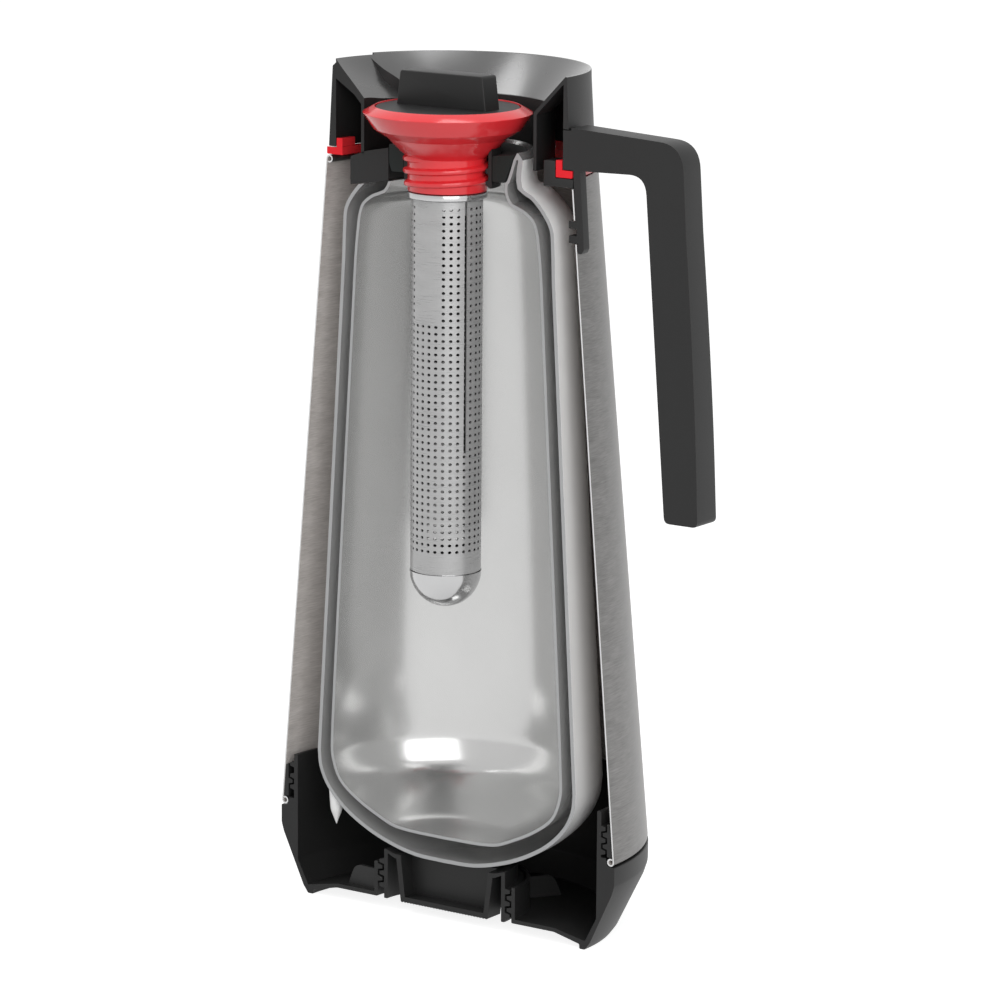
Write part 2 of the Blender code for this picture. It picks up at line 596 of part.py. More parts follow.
def bar_outline(inset, foot_z, top_z):
    """Tapered bar across the plug, drawn in by an inset."""
    return [
        (-BAR_FOOT_HALF_LENGTH + inset, foot_z),
        (BAR_FOOT_HALF_LENGTH - inset, foot_z),
        (BAR_HALF_LENGTH - inset, top_z),
        (-BAR_HALF_LENGTH + inset, top_z),
    ]


def liner_height(share):
    """Height on the glass from a share of the liner's height."""
    return LINER_BOTTOM_Z + share * (LINER_LIP_Z - LINER_BOTTOM_Z)


def vessel_height(share):
    """Height on the inner vessel from a share of its depth."""
    return VESSEL_FLOOR_Z + share * (LINER_LIP_Z - VESSEL_FLOOR_Z)


def liner_outside():
    """Outer surface of the glass from the lip to the axis, with wall sizes."""
    points = []
    for radius, height in LINER_NECK_SHARES:
        points.append((radius * LINER_NECK_RADIUS, liner_height(height), NECK_GLASS_WALL))
    for radius, height in LINER_SHOULDER_SHARES:
        points.append((radius * LINER_SHOULDER_RADIUS, liner_height(height), GLASS_WALL))
    for radius, height in LINER_OUTER_SHARES:
        points.append((radius * LINER_RADIUS, liner_height(height), GLASS_WALL))
    points.append((0.0, LINER_BOTTOM_Z, GLASS_WALL))
    return points


def liner_inside():
    """Surface of the inner vessel from the lip to the axis, with wall sizes."""
    points = []
    for radius, height in VESSEL_NECK_SHARES:
        points.append((radius * VESSEL_NECK_RADIUS, vessel_height(height), VESSEL_WALL))
    for radius, height in VESSEL_SHOULDER_SHARES:
        points.append((radius * VESSEL_SHOULDER_RADIUS, vessel_height(height), VESSEL_WALL))
    for radius, height in VESSEL_SHARES:
        points.append((radius * VESSEL_RADIUS, vessel_height(height), VESSEL_WALL))
    points.append((0.0, VESSEL_FLOOR_Z, VESSEL_WALL))
    return points


def offset_profile(points, side):
    """Moves each point of an open profile square to its run by its own wall size."""
    moved = []
    last = len(points) - 1
    for index, (radius, height, wall) in enumerate(points):
        before = points[max(index - 1, 0)]
        after = points[min(index + 1, last)]
        run = Vector((after[0] - before[0], after[1] - before[1])).normalized()
        if radius == 0.0:
            run = Vector((-1.0, 0.0))
        moved.append((radius + side * wall * run[1], height - side * wall * run[0]))
    return moved


def liner_profile():
    """Outline of the closed glass blank: outer surface down, inner surface back."""
    outside = [(radius, height) for radius, height, _ in liner_outside()]
    inside = [(radius, height) for radius, height, _ in liner_inside()]
    return outside + list(reversed(inside))


def vacuum_profile():
    """Outline of the space between the walls, closed below the welded lip."""
    outer = offset_profile(liner_outside()[1:], 1)
    inner = offset_profile(liner_inside(), -1)
    limit = LINER_LIP_Z - LIP_WELD
    outer = [(radius, min(height, limit)) for radius, height in outer]
    inner = [(radius, min(height, limit)) for radius, height in inner]
    return outer + list(reversed(inner))


def tip_profile():
    """Drawn-out glass tip under the liner, from its root to its point."""
    points = [(0.0, TIP_ROOT_Z), (TIP_RADIUS, TIP_ROOT_Z)]
    for radius, height in TIP_SHARES:
        points.append((radius * TIP_RADIUS, TIP_POINT_Z + height * (TIP_ROOT_Z - TIP_POINT_Z)))
    points.append((0.0, TIP_POINT_Z))
    return points


def saddle_profile():
    """Section of the saddle that lies on the glass under the spout."""
    return [
        (SADDLE_INNER_RADIUS, SADDLE_INNER_TOP_Z),
        (SADDLE_SHOULDER_RADIUS, SADDLE_SHOULDER_Z),
        (SADDLE_OUTER_RADIUS, SADDLE_OUTER_TOP_Z),
        (SADDLE_OUTER_RADIUS, SADDLE_OUTER_FOOT_Z),
        (SADDLE_INNER_RADIUS, SADDLE_INNER_FOOT_Z),
    ]


def notch_profile():
    """Section of the glass that the saddle replaces, with its clearance."""
    inner = SEAL_CORE_RADIUS
    run = SADDLE_OUTER_RADIUS - SADDLE_INNER_RADIUS
    slope = (SADDLE_OUTER_FOOT_Z - SADDLE_INNER_FOOT_Z) / run
    outer = SADDLE_OUTER_RADIUS + OVERRUN
    top = LINER_LIP_Z + OVERRUN
    start = SADDLE_INNER_FOOT_Z - GAP
    return [
        (inner, top),
        (outer, top),
        (outer, start + slope * (outer - SADDLE_INNER_RADIUS)),
        (inner, start + slope * (inner - SADDLE_INNER_RADIUS)),
    ]


def seal_relief_profile():
    """Section of the neck seal's outer part, which the saddle replaces."""
    return [
        (SADDLE_INNER_RADIUS - GAP, NECK_SEAL_TOP_Z + OVERRUN),
        (SADDLE_OUTER_RADIUS, NECK_SEAL_TOP_Z + OVERRUN),
        (SADDLE_OUTER_RADIUS, NECK_SEAL_FOOT_Z - OVERRUN),
        (SADDLE_INNER_RADIUS - GAP, NECK_SEAL_FOOT_Z - OVERRUN),
    ]


def neck_seal_profile():
    """Section of the rubber wedge between the sleeve and the glass neck."""
    inner = SLEEVE_INNER_RADIUS + SLEEVE_WALL + GAP
    return [
        (inner, NECK_SEAL_INNER_TOP_Z),
        (NECK_SEAL_TOP_SHARE * VESSEL_NECK_RADIUS, NECK_SEAL_TOP_Z),
        (NECK_SEAL_SHOULDER_SHARE * VESSEL_NECK_RADIUS, NECK_SEAL_SHOULDER_Z),
        (NECK_SEAL_FOOT_SHARE * VESSEL_NECK_RADIUS, NECK_SEAL_FOOT_Z),
        (inner, NECK_SEAL_FOOT_Z),
    ]


def cone_height(radius):
    """Height of the stopper's sealing cone at a radius."""
    slope = (SEAL_CONE_Z - SEAL_CONE_FOOT_Z) / (SEAL_CONE_RADIUS - SEAL_CONE_FOOT_RADIUS)
    return SEAL_CONE_FOOT_Z + slope * (radius - SEAL_CONE_FOOT_RADIUS)


def sleeve_profile():
    """Section of the sleeve, whose top follows the stopper's cone."""
    outer = SLEEVE_INNER_RADIUS + SLEEVE_WALL
    return [
        (outer, cone_height(outer) - GAP),
        (outer, SLEEVE_FOOT_Z),
        (SLEEVE_INNER_RADIUS, SLEEVE_FOOT_Z),
        (SLEEVE_INNER_RADIUS, cone_height(SLEEVE_INNER_RADIUS) - GAP),
    ]


def stopper_profile():
    """Half section of the stopper from the middle of its recess to its spigot."""
    groove = SEAL_GROOVE_RADIUS - SEAL_GROOVE_DEPTH
    core_fillet = (SEAL_CONE_FOOT_RADIUS + SEAL_CORE_RADIUS) / 2
    middle_z = (SEAL_CORE_TOP_Z + SEAL_CONE_FOOT_Z) / 2
    groove_z = (SEAL_GROOVE_Z + SEAL_CONE_Z) / 2
    return [
        (0.0, RECESS_Z),
        (RECESS_RADIUS, RECESS_Z),
        (RECESS_RADIUS, STOPPER_RIM_Z),
        (STOPPER_RADIUS, STOPPER_EDGE_Z),
        (SEAL_GROOVE_RADIUS, SEAL_GROOVE_Z),
        (groove, groove_z),
        (SEAL_CONE_RADIUS, SEAL_CONE_Z),
        (SEAL_CONE_FOOT_RADIUS, SEAL_CONE_FOOT_Z),
        (core_fillet, middle_z),
        (SEAL_CORE_RADIUS, SEAL_CORE_TOP_Z),
        (SEAL_CORE_RADIUS, SEAL_CORE_FOOT_Z),
        (SPIGOT_RADIUS, SEAL_CORE_FOOT_Z),
        (SPIGOT_RADIUS, SPIGOT_FOOT_Z),
        (0.0, SPIGOT_FOOT_Z),
    ]


def cap_profile():
    """Disc that closes the recess in the stopper."""
    foot = RECESS_Z + GAP
    radius = RECESS_RADIUS - GAP
    return [(0.0, foot + CAP_WALL), (radius, foot + CAP_WALL), (radius, foot), (0.0, foot)]


def grip_outline():
    """Upright grip on the cap, with its top corners cut off."""
    foot = RECESS_Z + GAP + CAP_WALL / 2
    return [
        (-GRIP_FOOT_HALF_LENGTH, foot),
        (GRIP_FOOT_HALF_LENGTH, foot),
        (GRIP_TOP_HALF_LENGTH, GRIP_TOP_Z - GRIP_CORNER),
        (GRIP_TOP_HALF_LENGTH - GRIP_CORNER, GRIP_TOP_Z),
        (GRIP_CORNER - GRIP_TOP_HALF_LENGTH, GRIP_TOP_Z),
        (-GRIP_TOP_HALF_LENGTH, GRIP_TOP_Z - GRIP_CORNER),
    ]


def flange_profile():
    """Section of the infuser's collar, round the stopper's spigot."""
    bore = SPIGOT_RADIUS + GAP
    sleeve = INFUSER_RADIUS - INFUSER_WALL - GAP
    step = FLANGE_TOP_Z - FLANGE_THICKNESS
    return [
        (FLANGE_RADIUS, FLANGE_TOP_Z),
        (FLANGE_RADIUS, step),
        (sleeve, step),
        (sleeve, INFUSER_SLEEVE_Z),
        (bore, INFUSER_SLEEVE_Z),
        (bore, FLANGE_TOP_Z),
    ]


def tube_profile():
    """Section of the perforated tube between its collar and its end cap."""
    top = FLANGE_TOP_Z - FLANGE_THICKNESS - GAP
    inner = INFUSER_RADIUS - INFUSER_WALL
    return [(INFUSER_RADIUS, top), (INFUSER_RADIUS, INFUSER_FOOT_Z), (inner, INFUSER_FOOT_Z), (inner, top)]


def tip_cap_profile():
    """Half section of the domed end cap with the sleeve that enters the tube."""
    rim_z = INFUSER_FOOT_Z - GAP
    sleeve = INFUSER_RADIUS - INFUSER_WALL - GAP
    bore = sleeve - TIP_CAP_WALL
    depth = rim_z - TIP_CAP_BOTTOM_Z
    outside = []
    inside = []
    for radius, height in TIP_CAP_SHARES:
        outside.append((radius * TIP_CAP_RADIUS, TIP_CAP_BOTTOM_Z + height * depth))
        inner_depth = depth - TIP_CAP_WALL
        inside.append((radius * bore, TIP_CAP_BOTTOM_Z + TIP_CAP_WALL + height * inner_depth))
    points = [(bore, TIP_CAP_SLEEVE_Z), (sleeve, TIP_CAP_SLEEVE_Z), (sleeve, rim_z), (TIP_CAP_RADIUS, rim_z)]
    points += outside
    points.append((0.0, TIP_CAP_BOTTOM_Z))
    points.append((0.0, TIP_CAP_BOTTOM_Z + TIP_CAP_WALL))
    return points + list(reversed(inside))


def collar_profile():
    """Closed section of the collar: skin, foot, underside of the bowl and throat."""
    throat = THROAT_RADIUS + THROAT_WALL
    return [
        (RIM_RADIUS, RIM_Z),
        (COLLAR_WAIST_RADIUS, COLLAR_WAIST_Z),
        (COLLAR_FOOT_RADIUS, COLLAR_FOOT_Z),
        (COLLAR_INNER_RADIUS, COLLAR_FOOT_Z),
        (COLLAR_INNER_RADIUS, bowl_height(COLLAR_INNER_RADIUS) - BOWL_WALL),
        (throat, bowl_height(throat) - BOWL_WALL),
        (throat, THROAT_FOOT_Z),
        (THROAT_RADIUS, THROAT_FOOT_Z),
        (THROAT_RADIUS, BOWL_FOOT_Z),
        (RIM_RADIUS - RIM_LAND, RIM_Z),
    ]


def drip_profile():
    """Section of the drip groove under the spout's lip."""
    outer = COLLAR_WAIST_RADIUS + GAP
    return [
        (DRIP_LIP_RADIUS, RIM_Z + OVERRUN),
        (outer + OVERRUN, RIM_Z + OVERRUN),
        (outer + OVERRUN, DRIP_FOOT_Z),
        (outer, DRIP_FOOT_Z),
        (DRIP_DEPTH_RADIUS, DRIP_DEPTH_Z),
    ]


def trim_profile():
    """Section of the red ring: a flat land and an upright leg."""
    return [
        (TAB_OUTER_RADIUS, TAB_TOP_Z),
        (TAB_OUTER_RADIUS, TRIM_TOP_Z),
        (TRIM_RADIUS, TRIM_TOP_Z),
        (TRIM_RADIUS, TRIM_FOOT_Z),
        (TAB_INNER_RADIUS, TRIM_FOOT_Z),
        (TAB_INNER_RADIUS, TAB_TOP_Z),
    ]


def bracket_profile():
    """Section of the bracket inside the steel body."""
    leg = TAB_INNER_RADIUS - GAP
    shelf = BODY_TOP_RADIUS - 2 * BEAD_RADIUS - GAP
    return [
        (leg, BRACKET_TOP_Z),
        (leg, BRACKET_STEP_Z),
        (shelf, BRACKET_STEP_Z),
        (shelf, BRACKET_FOOT_Z),
        (BRACKET_INNER_RADIUS, BRACKET_FOOT_Z),
        (BRACKET_INNER_RADIUS, BRACKET_TOP_Z),
    ]


def tongue_profile():
    """Section of the bracket's tongue, out through the notch in the bead."""
    shelf = BODY_TOP_RADIUS - 2 * BEAD_RADIUS - GAP
    middle = (shelf + BRACKET_INNER_RADIUS) / 2
    return [
        (BODY_TOP_RADIUS, BRACKET_STEP_Z),
        (BODY_TOP_RADIUS, BRACKET_FOOT_Z),
        (middle, BRACKET_FOOT_Z),
        (middle, BRACKET_STEP_Z),
    ]


def handle_outline():
    """Side view of the arm and the grip."""
    root_x = COLLAR_FOOT_RADIUS + GAP
    root_top = (root_x, HANDLE_ARM_TOP_Z)
    root_foot = (root_x, HANDLE_ARM_FOOT_Z)
    crown = (HANDLE_CROWN_X, HANDLE_ARM_TOP_Z - HANDLE_CROWN_FALL)
    elbow = (HANDLE_ELBOW_X, HANDLE_ARM_FOOT_Z + HANDLE_ELBOW_RISE)
    toe = (HANDLE_REACH, HANDLE_FOOT_Z)
    heel = (HANDLE_FOOT_X, HANDLE_FOOT_Z)
    outer = []
    for run, rise in HANDLE_GRIP_SHARES:
        x = HANDLE_CROWN_X + run * (HANDLE_REACH - HANDLE_CROWN_X)
        outer.append((x, HANDLE_FOOT_Z + rise * (HANDLE_ARM_FOOT_Z - HANDLE_FOOT_Z)))
    points = [root_foot, root_top]
    points += fillet(crown, root_top, outer[-1], HANDLE_CROWN_FILLET, 5)
    points += list(reversed(outer))
    points += fillet(toe, outer[0], heel, HANDLE_TOE_FILLET, 2)
    points += fillet(heel, toe, elbow, HANDLE_TOE_FILLET, 2)
    points += fillet(elbow, heel, root_foot, HANDLE_ELBOW_FILLET, 4)
    return points


def tail_inner(height):
    """Inner face of the handle's tail, just outside the trim ring and the steel."""
    return max(sheet_radius(height), TRIM_RADIUS) + GAP


def tail_outline():
    """Strap below the arm that lies along the steel body."""
    top_z = HANDLE_ARM_FOOT_Z + TAIL_WALL
    inner_top = tail_inner(BODY_TOP_Z)
    inner_foot = tail_inner(TAIL_FOOT_Z)
    return [
        (inner_top, top_z),
        (inner_top, BODY_TOP_Z),
        (inner_foot, TAIL_FOOT_Z),
        (inner_foot + TAIL_WALL - TAIL_TOE / 2, TAIL_FOOT_Z),
        (inner_foot + TAIL_WALL, TAIL_FOOT_Z + TAIL_TOE),
        (inner_top + TAIL_WALL, top_z),
    ]


def make_material(name, color, roughness, metallic):
    """Principled material of one piece."""
    material = bpy.data.materials.new(name)
    material.use_nodes = True
    shader = material.node_tree.nodes["Principled BSDF"]
    shader.inputs["Base Color"].default_value = color
    shader.inputs["Roughness"].default_value = roughness
    shader.inputs["Metallic"].default_value = metallic
    material.diffuse_color = color
    return material


def shade(mesh):
    """Smooth shading that breaks at the real edges."""
    mesh.shade_smooth()
    mesh.set_sharp_from_angle(angle=SHARP_ANGLE)


class Workshop:
    """Collections and the jug's axis, and the ways its pieces are made."""

    def __init__(self):
        for item in list(bpy.data.objects):
            bpy.data.objects.remove(item)
        self.pieces = bpy.data.collections.new("thermal_jug")
        self.tools = bpy.data.collections.new("cutters")
        bpy.context.scene.collection.children.link(self.pieces)
        bpy.context.scene.collection.children.link(self.tools)
        self.axis = bpy.data.objects.new("jug_axis", None)
        left = BASE_RADIUS * math.cos(math.pi / TURN_STEPS)
        front = STOPPER_RADIUS * math.cos(math.pi / SMALL_STEPS)
        self.axis.location = ((left - HANDLE_REACH) / 2, (front - left) / 2, 0.0)
        self.pieces.objects.link(self.axis)

    def place(self, name, data, tool=False, angle=0.0):
        """Adds an object on the jug's axis."""
        item = bpy.data.objects.new(name, data)
        item.parent = self.axis
        item.rotation_euler.z = angle
        (self.tools if tool else self.pieces).objects.link(item)
        if tool:
            item.hide_render = True
            item.display_type = "WIRE"
        return item

    def settle(self, item, weld=False):
        """Fixes a curve or a modifier's result as a shaded mesh object."""
        bpy.context.view_layer.update()
        graph = bpy.context.evaluated_depsgraph_get()
        mesh = bpy.data.meshes.new_from_object(item.evaluated_get(graph))
        if weld:
            shape = bmesh.new()
            shape.from_mesh(mesh)
            bmesh.ops.remove_doubles(shape, verts=shape.verts, dist=MERGE_DISTANCE)
            shape.to_mesh(mesh)
            shape.free()
        shade(mesh)
        name = item.name
        made = bpy.data.objects.new(name, mesh)
        made.parent = item.parent
        made.matrix_basis = item.matrix_basis.copy()
        made.hide_render = item.hide_render
        made.display_type = item.display_type
        for collection in item.users_collection:
            collection.objects.link(made)
        bpy.data.objects.remove(item)
        made.name = name
        return made

    def turned(self, name, points, steps=TURN_STEPS, tool=False, first=None):
        """Turns a closed profile about the axis, which may be one of its sides."""
        mesh = bpy.data.meshes.new(name)
        on_axis = any(radius == 0.0 for radius, _ in points)
        verts = [(radius, 0.0, height) for radius, height in points]
        edges = []
        for index, (radius, _) in enumerate(points):
            after = (index + 1) % len(points)
            if radius > 0.0 or points[after][0] > 0.0:
                edges.append((index, after))
        mesh.from_pydata(verts, edges, [])
        start = math.pi / steps if first is None else first
        item = self.place(name, mesh, tool, start)
        screw = item.modifiers.new("turn", "SCREW")
        screw.axis = "Z"
        screw.angle = math.tau
        screw.steps = steps
        screw.render_steps = steps
        screw.use_merge_vertices = on_axis
        screw.merge_threshold = MERGE_DISTANCE
        return self.settle(item, weld=on_axis)

    def plate(self, name, outline, half_width, tool=False, angle=0.0):
        """Extrudes an outline in the X-Z plane to both sides of the section plane."""
        curve = bpy.data.curves.new(name, "CURVE")
        curve.dimensions = "2D"
        curve.fill_mode = "BOTH"
        curve.extrude = half_width
        spline = curve.splines.new("POLY")
        spline.points.add(len(outline) - 1)
        for point, (x, z) in zip(spline.points, outline):
            point.co = (x, z, 0.0, 1.0)
        spline.use_cyclic_u = True
        item = self.place(name, curve, tool, angle)
        item.rotation_euler.x = math.pi / 2
        return self.settle(item, weld=True)

    def taper(self, item, top, foot):
        """Spreads a plate's width from its top to its foot: each is a height and a share."""
        for vertex in item.data.vertices:
            share = (top[0] - vertex.co.y) / (top[0] - foot[0])
            share = min(max(share, 0.0), 1.0)
            vertex.co.z *= top[1] + share * (foot[1] - top[1])

    def soften(self, item, edge):
        """Rounds the long edges of a plate."""
        bevel = item.modifiers.new("edges", "BEVEL")
        bevel.width = edge
        bevel.segments = 3
        bevel.limit_method = "ANGLE"
        bevel.angle_limit = math.radians(60.0)
        return self.settle(item)

    def blocks(self, name, sizes, tool=True):
        """Separate boxes in one mesh: each has two corners and a turn about Z."""
        shape = bmesh.new()
        for low, high, angle in sizes:
            low, high = Vector(low), Vector(high)
            scale = Matrix.Diagonal((*(high - low), 1.0))
            move = Matrix.Translation((low + high) / 2)
            turn = Matrix.Rotation(angle, 4, "Z")
            bmesh.ops.create_cube(shape, size=1.0, matrix=turn @ move @ scale)
        mesh = bpy.data.meshes.new(name)
        shape.to_mesh(mesh)
        shape.free()
        return self.place(name, mesh, tool)

    def rod(self, name, start, length, radius, sides):
        """Round bar from a point along +X."""
        shape = bmesh.new()
        middle = Matrix.Translation(Vector(start) + Vector((length / 2, 0.0, 0.0)))
        bmesh.ops.create_cone(
            shape, cap_ends=True, segments=sides, radius1=radius, radius2=radius, depth=length,
            matrix=middle @ Matrix.Rotation(math.pi / 2, 4, "Y"),
        )
        mesh = bpy.data.meshes.new(name)
        shape.to_mesh(mesh)
        shape.free()
        return self.place(name, mesh, True)

    def loft(self, name, rings, tool=True, angle=0.0):
        """Joins rings of equal length into one closed solid with capped ends."""
        shape = bmesh.new()
        rows = [[shape.verts.new(point) for point in ring] for ring in rings]
        for near, far in zip(rows, rows[1:]):
            count = len(near)
            for index in range(count):
                after = (index + 1) % count
                shape.faces.new((near[index], near[after], far[after], far[index]))
        shape.faces.new(tuple(reversed(rows[0])))
        shape.faces.new(tuple(rows[-1]))
        bmesh.ops.recalc_face_normals(shape, faces=shape.faces)
        mesh = bpy.data.meshes.new(name)
        shape.to_mesh(mesh)
        shape.free()
        return self.place(name, mesh, tool, angle)

    def thread(self, name, root, crest, widths, pitch, turns, start_z, steps):
        """Helical ridge from a buried root to a narrower crest.

        Its stations lie a quarter of a step from the wall's, so that no edge of
        the ridge falls on an edge of the wall or on the section plane.
        """
        root_half = widths[0] / 2
        crest_half = widths[1] / 2
        total = round(turns * steps)
        rings = []
        for index in range(total + 1):
            angle = math.tau * index / steps
            height = start_z + pitch * index / steps
            section = (
                (root, -root_half),
                (crest, -crest_half),
                (crest, crest_half),
                (root, root_half),
            )
            ring = []
            for radius, rise in section:
                x, y = polar(radius, angle)
                ring.append((x, y, height + rise))
            rings.append(ring)
        return self.loft(name, rings, angle=math.pi / (2 * steps))

    def wedge(self, name, first, last, tool=True):
        """Upright pie slice between two angles, taller and wider than the neck."""
        reach = BODY_FOOT_RADIUS + OVERRUN
        middle = (first + last) / 2
        corners = [(0.0, 0.0), polar(reach, first), polar(reach, middle), polar(reach, last)]
        low = SADDLE_OUTER_FOOT_Z - SADDLE_THICKNESS
        high = RIM_Z + OVERRUN
        rings = [[(x, y, low) for x, y in corners], [(x, y, high) for x, y in corners]]
        return self.loft(name, rings, tool)


def combine(item, other, operation):
    """Adds one Boolean step to a piece."""
    step = item.modifiers.new(operation.lower(), "BOOLEAN")
    step.operation = operation
    step.object = other
    step.solver = "EXACT"


def spout_rows():
    """Rows of the spout's floor from above the rim to inside the throat."""
    rows = []
    shares = [2 * index / SPOUT_ACROSS - 1 for index in range(SPOUT_ACROSS + 1)]
    top = []
    slope = []
    bed = []
    mouth = []
    end = []
    for share in shares:
        bend = share * share
        y = share * SPOUT_HALF_WIDTH
        top.append((-math.sqrt(RIM_RADIUS**2 - y * y), y, RIM_Z + SPOUT_LIFT))
        y = share * SPOUT_SLOPE_HALF_WIDTH
        x = SPOUT_SLOPE_X + bend * (SPOUT_SLOPE_EDGE_X - SPOUT_SLOPE_X)
        depth = SPOUT_SLOPE_DEPTH + bend * (SPOUT_SLOPE_EDGE_DEPTH - SPOUT_SLOPE_DEPTH)
        slope.append((-x, y, bowl_height(math.hypot(x, y)) - depth))
        bed.append((-SPOUT_BED_X, share * SPOUT_BED_HALF_WIDTH, SPOUT_BED_Z))
        rise = bend * SPOUT_MOUTH_EDGE_RISE
        mouth.append((-SPOUT_MOUTH_X, share * SPOUT_MOUTH_HALF_WIDTH, SPOUT_MOUTH_Z + rise))
        y = share * SPOUT_END_HALF_WIDTH
        end.append((-math.sqrt(SPOUT_END_RADIUS**2 - y * y), y, SPOUT_END_Z))
    rows += [top, slope, bed, mouth, end]
    return rows


def spout_cutter(shop):
    """Solid above the spout's floor."""
    high = RIM_Z + OVERRUN + SPOUT_LIFT
    rings = []
    for row in spout_rows():
        rings.append(list(row) + [(x, y, high) for x, y, _ in reversed(row)])
    return shop.loft("spout_channel", rings)


def spout_trough(shop):
    """Shell under the spout's floor, from the collar's skin to the throat."""
    skin = (COLLAR_INNER_RADIUS + COLLAR_WAIST_RADIUS) / 2
    throat = THROAT_RADIUS + THROAT_WALL / 2
    outer_half = SPOUT_SLOPE_HALF_WIDTH + SPOUT_WALL
    bed_half = SPOUT_BED_HALF_WIDTH + SPOUT_WALL
    end_half = SPOUT_END_HALF_WIDTH + SPOUT_WALL
    rings = []
    stations = (
        (None, skin, outer_half, TROUGH_OUTER_Z),
        (SPOUT_BED_X, None, bed_half, TROUGH_BED_Z),
        (None, throat, end_half, TROUGH_THROAT_Z),
    )
    for flat_x, radius, half, low in stations:
        bottom = []
        top = []
        for index in range(SPOUT_ACROSS + 1):
            y = half * (2 * index / SPOUT_ACROSS - 1)
            x = flat_x if radius is None else math.sqrt(radius * radius - y * y)
            bottom.append((-x, y, low))
            top.append((-x, y, bowl_height(math.hypot(x, y)) - BOWL_WALL / 2))
        rings.append(bottom + list(reversed(top)))
    return shop.loft("spout_shell", rings)


def make_body(shop, section):
    """Steel body with its notch for the bracket and its hole for the stud."""
    item = shop.turned("steel_body", body_profile())
    half = BRACKET_TONGUE_HALF_WIDTH + GAP
    low_x = BODY_TOP_RADIUS - 2 * BEAD_RADIUS - OVERRUN
    high_x = BODY_TOP_RADIUS + OVERRUN
    low = (low_x, -half, BRACKET_FOOT_Z - GAP)
    high = (high_x, half, BODY_TOP_Z + OVERRUN)
    combine(item, shop.blocks("bracket_notch", [(low, high, 0.0)]), "DIFFERENCE")
    combine(item, stud_tool(shop, "stud_hole", STUD_RADIUS + GAP), "DIFFERENCE")
    combine(item, section, "DIFFERENCE")
    return item


def stud_tool(shop, name, radius):
    """Round bar along X through the steel at the snap's height."""
    near = sheet_radius(SNAP_Z) - STUD_REACH
    far = sheet_radius(SNAP_Z) + TAIL_WALL + GAP
    return shop.rod(name, (near, 0.0, SNAP_Z), far - near, radius, STUD_SIDES)


def make_base(shop, section):
    """Base cup with its threads, its tube and its gussets."""
    item = shop.turned("base_cup", base_profile())
    widths = (THREAD_ROOT_WIDTH, THREAD_CREST_WIDTH)
    buried = (UPSTAND_INNER_RADIUS + UPSTAND_OUTER_RADIUS) / 2
    outer = shop.thread(
        "upstand_thread", buried, BODY_THREAD_OUTER_CREST, widths, BODY_THREAD_PITCH,
        BODY_THREAD_TURNS, BODY_THREAD_START_Z, TURN_STEPS,
    )
    combine(item, outer, "UNION")
    buried = BASE_TUBE_INNER_RADIUS + BASE_TUBE_WALL / 2
    inner = shop.thread(
        "tube_thread", buried, TUBE_THREAD_CREST, widths, PLUG_THREAD_PITCH,
        TUBE_THREAD_TURNS, PLUG_THREAD_START_Z + PLUG_THREAD_PITCH / 2, SMALL_STEPS,
    )
    combine(item, inner, "UNION")
    for index in range(RIB_COUNT):
        angle = RIB_FIRST_ANGLE + index * math.tau / RIB_COUNT
        rib = shop.plate(f"gusset_{index + 1}", rib_outline(), RIB_WALL / 2, True, angle)
        combine(item, rib, "UNION")
    combine(item, section, "DIFFERENCE")
    return item


def make_ring(shop, section):
    """Retaining ring with its inner thread half a pitch from the cup's thread."""
    item = shop.turned("retaining_ring", ring_profile())
    buried = RING_INNER_RADIUS + (THREAD_ROOT_WIDTH - THREAD_CREST_WIDTH) / 2
    widths = (THREAD_ROOT_WIDTH, THREAD_CREST_WIDTH)
    start = BODY_THREAD_START_Z + BODY_THREAD_PITCH / 2
    turns = (RING_TOP_Z - start - THREAD_ROOT_WIDTH) / BODY_THREAD_PITCH
    ridge = shop.thread(
        "ring_thread", buried, BODY_THREAD_INNER_CREST, widths, BODY_THREAD_PITCH,
        turns, start, TURN_STEPS,
    )
    combine(item, ridge, "UNION")
    combine(item, section, "DIFFERENCE")
    return item


def make_plug(shop, section):
    """Screw plug with a hollow bar across it to turn it by."""
    item = shop.turned("support_plug", plug_profile(), SMALL_STEPS)
    widths = (THREAD_ROOT_WIDTH, THREAD_CREST_WIDTH)
    ridge = shop.thread(
        "plug_thread", PLUG_RADIUS - PLUG_WALL / 2, PLUG_THREAD_CREST, widths, PLUG_THREAD_PITCH,
        PLUG_THREAD_TURNS, PLUG_THREAD_START_Z, SMALL_STEPS,
    )
    combine(item, ridge, "UNION")
    roof = LINER_BOTTOM_Z - GAP - PLUG_ROOF_WALL / 2
    bar = shop.plate("plug_bar", bar_outline(0.0, PLUG_FOOT_Z, roof), BAR_HALF_WIDTH, True)
    combine(item, bar, "UNION")
    pocket = bar_outline(BAR_WALL, PLUG_FOOT_Z + BAR_WALL, LINER_BOTTOM_Z + OVERRUN)
    hollow = shop.plate("plug_bar_hollow", pocket, BAR_HALF_WIDTH - BAR_WALL, True)
    combine(item, hollow, "DIFFERENCE")
    combine(item, section, "DIFFERENCE")
    return item


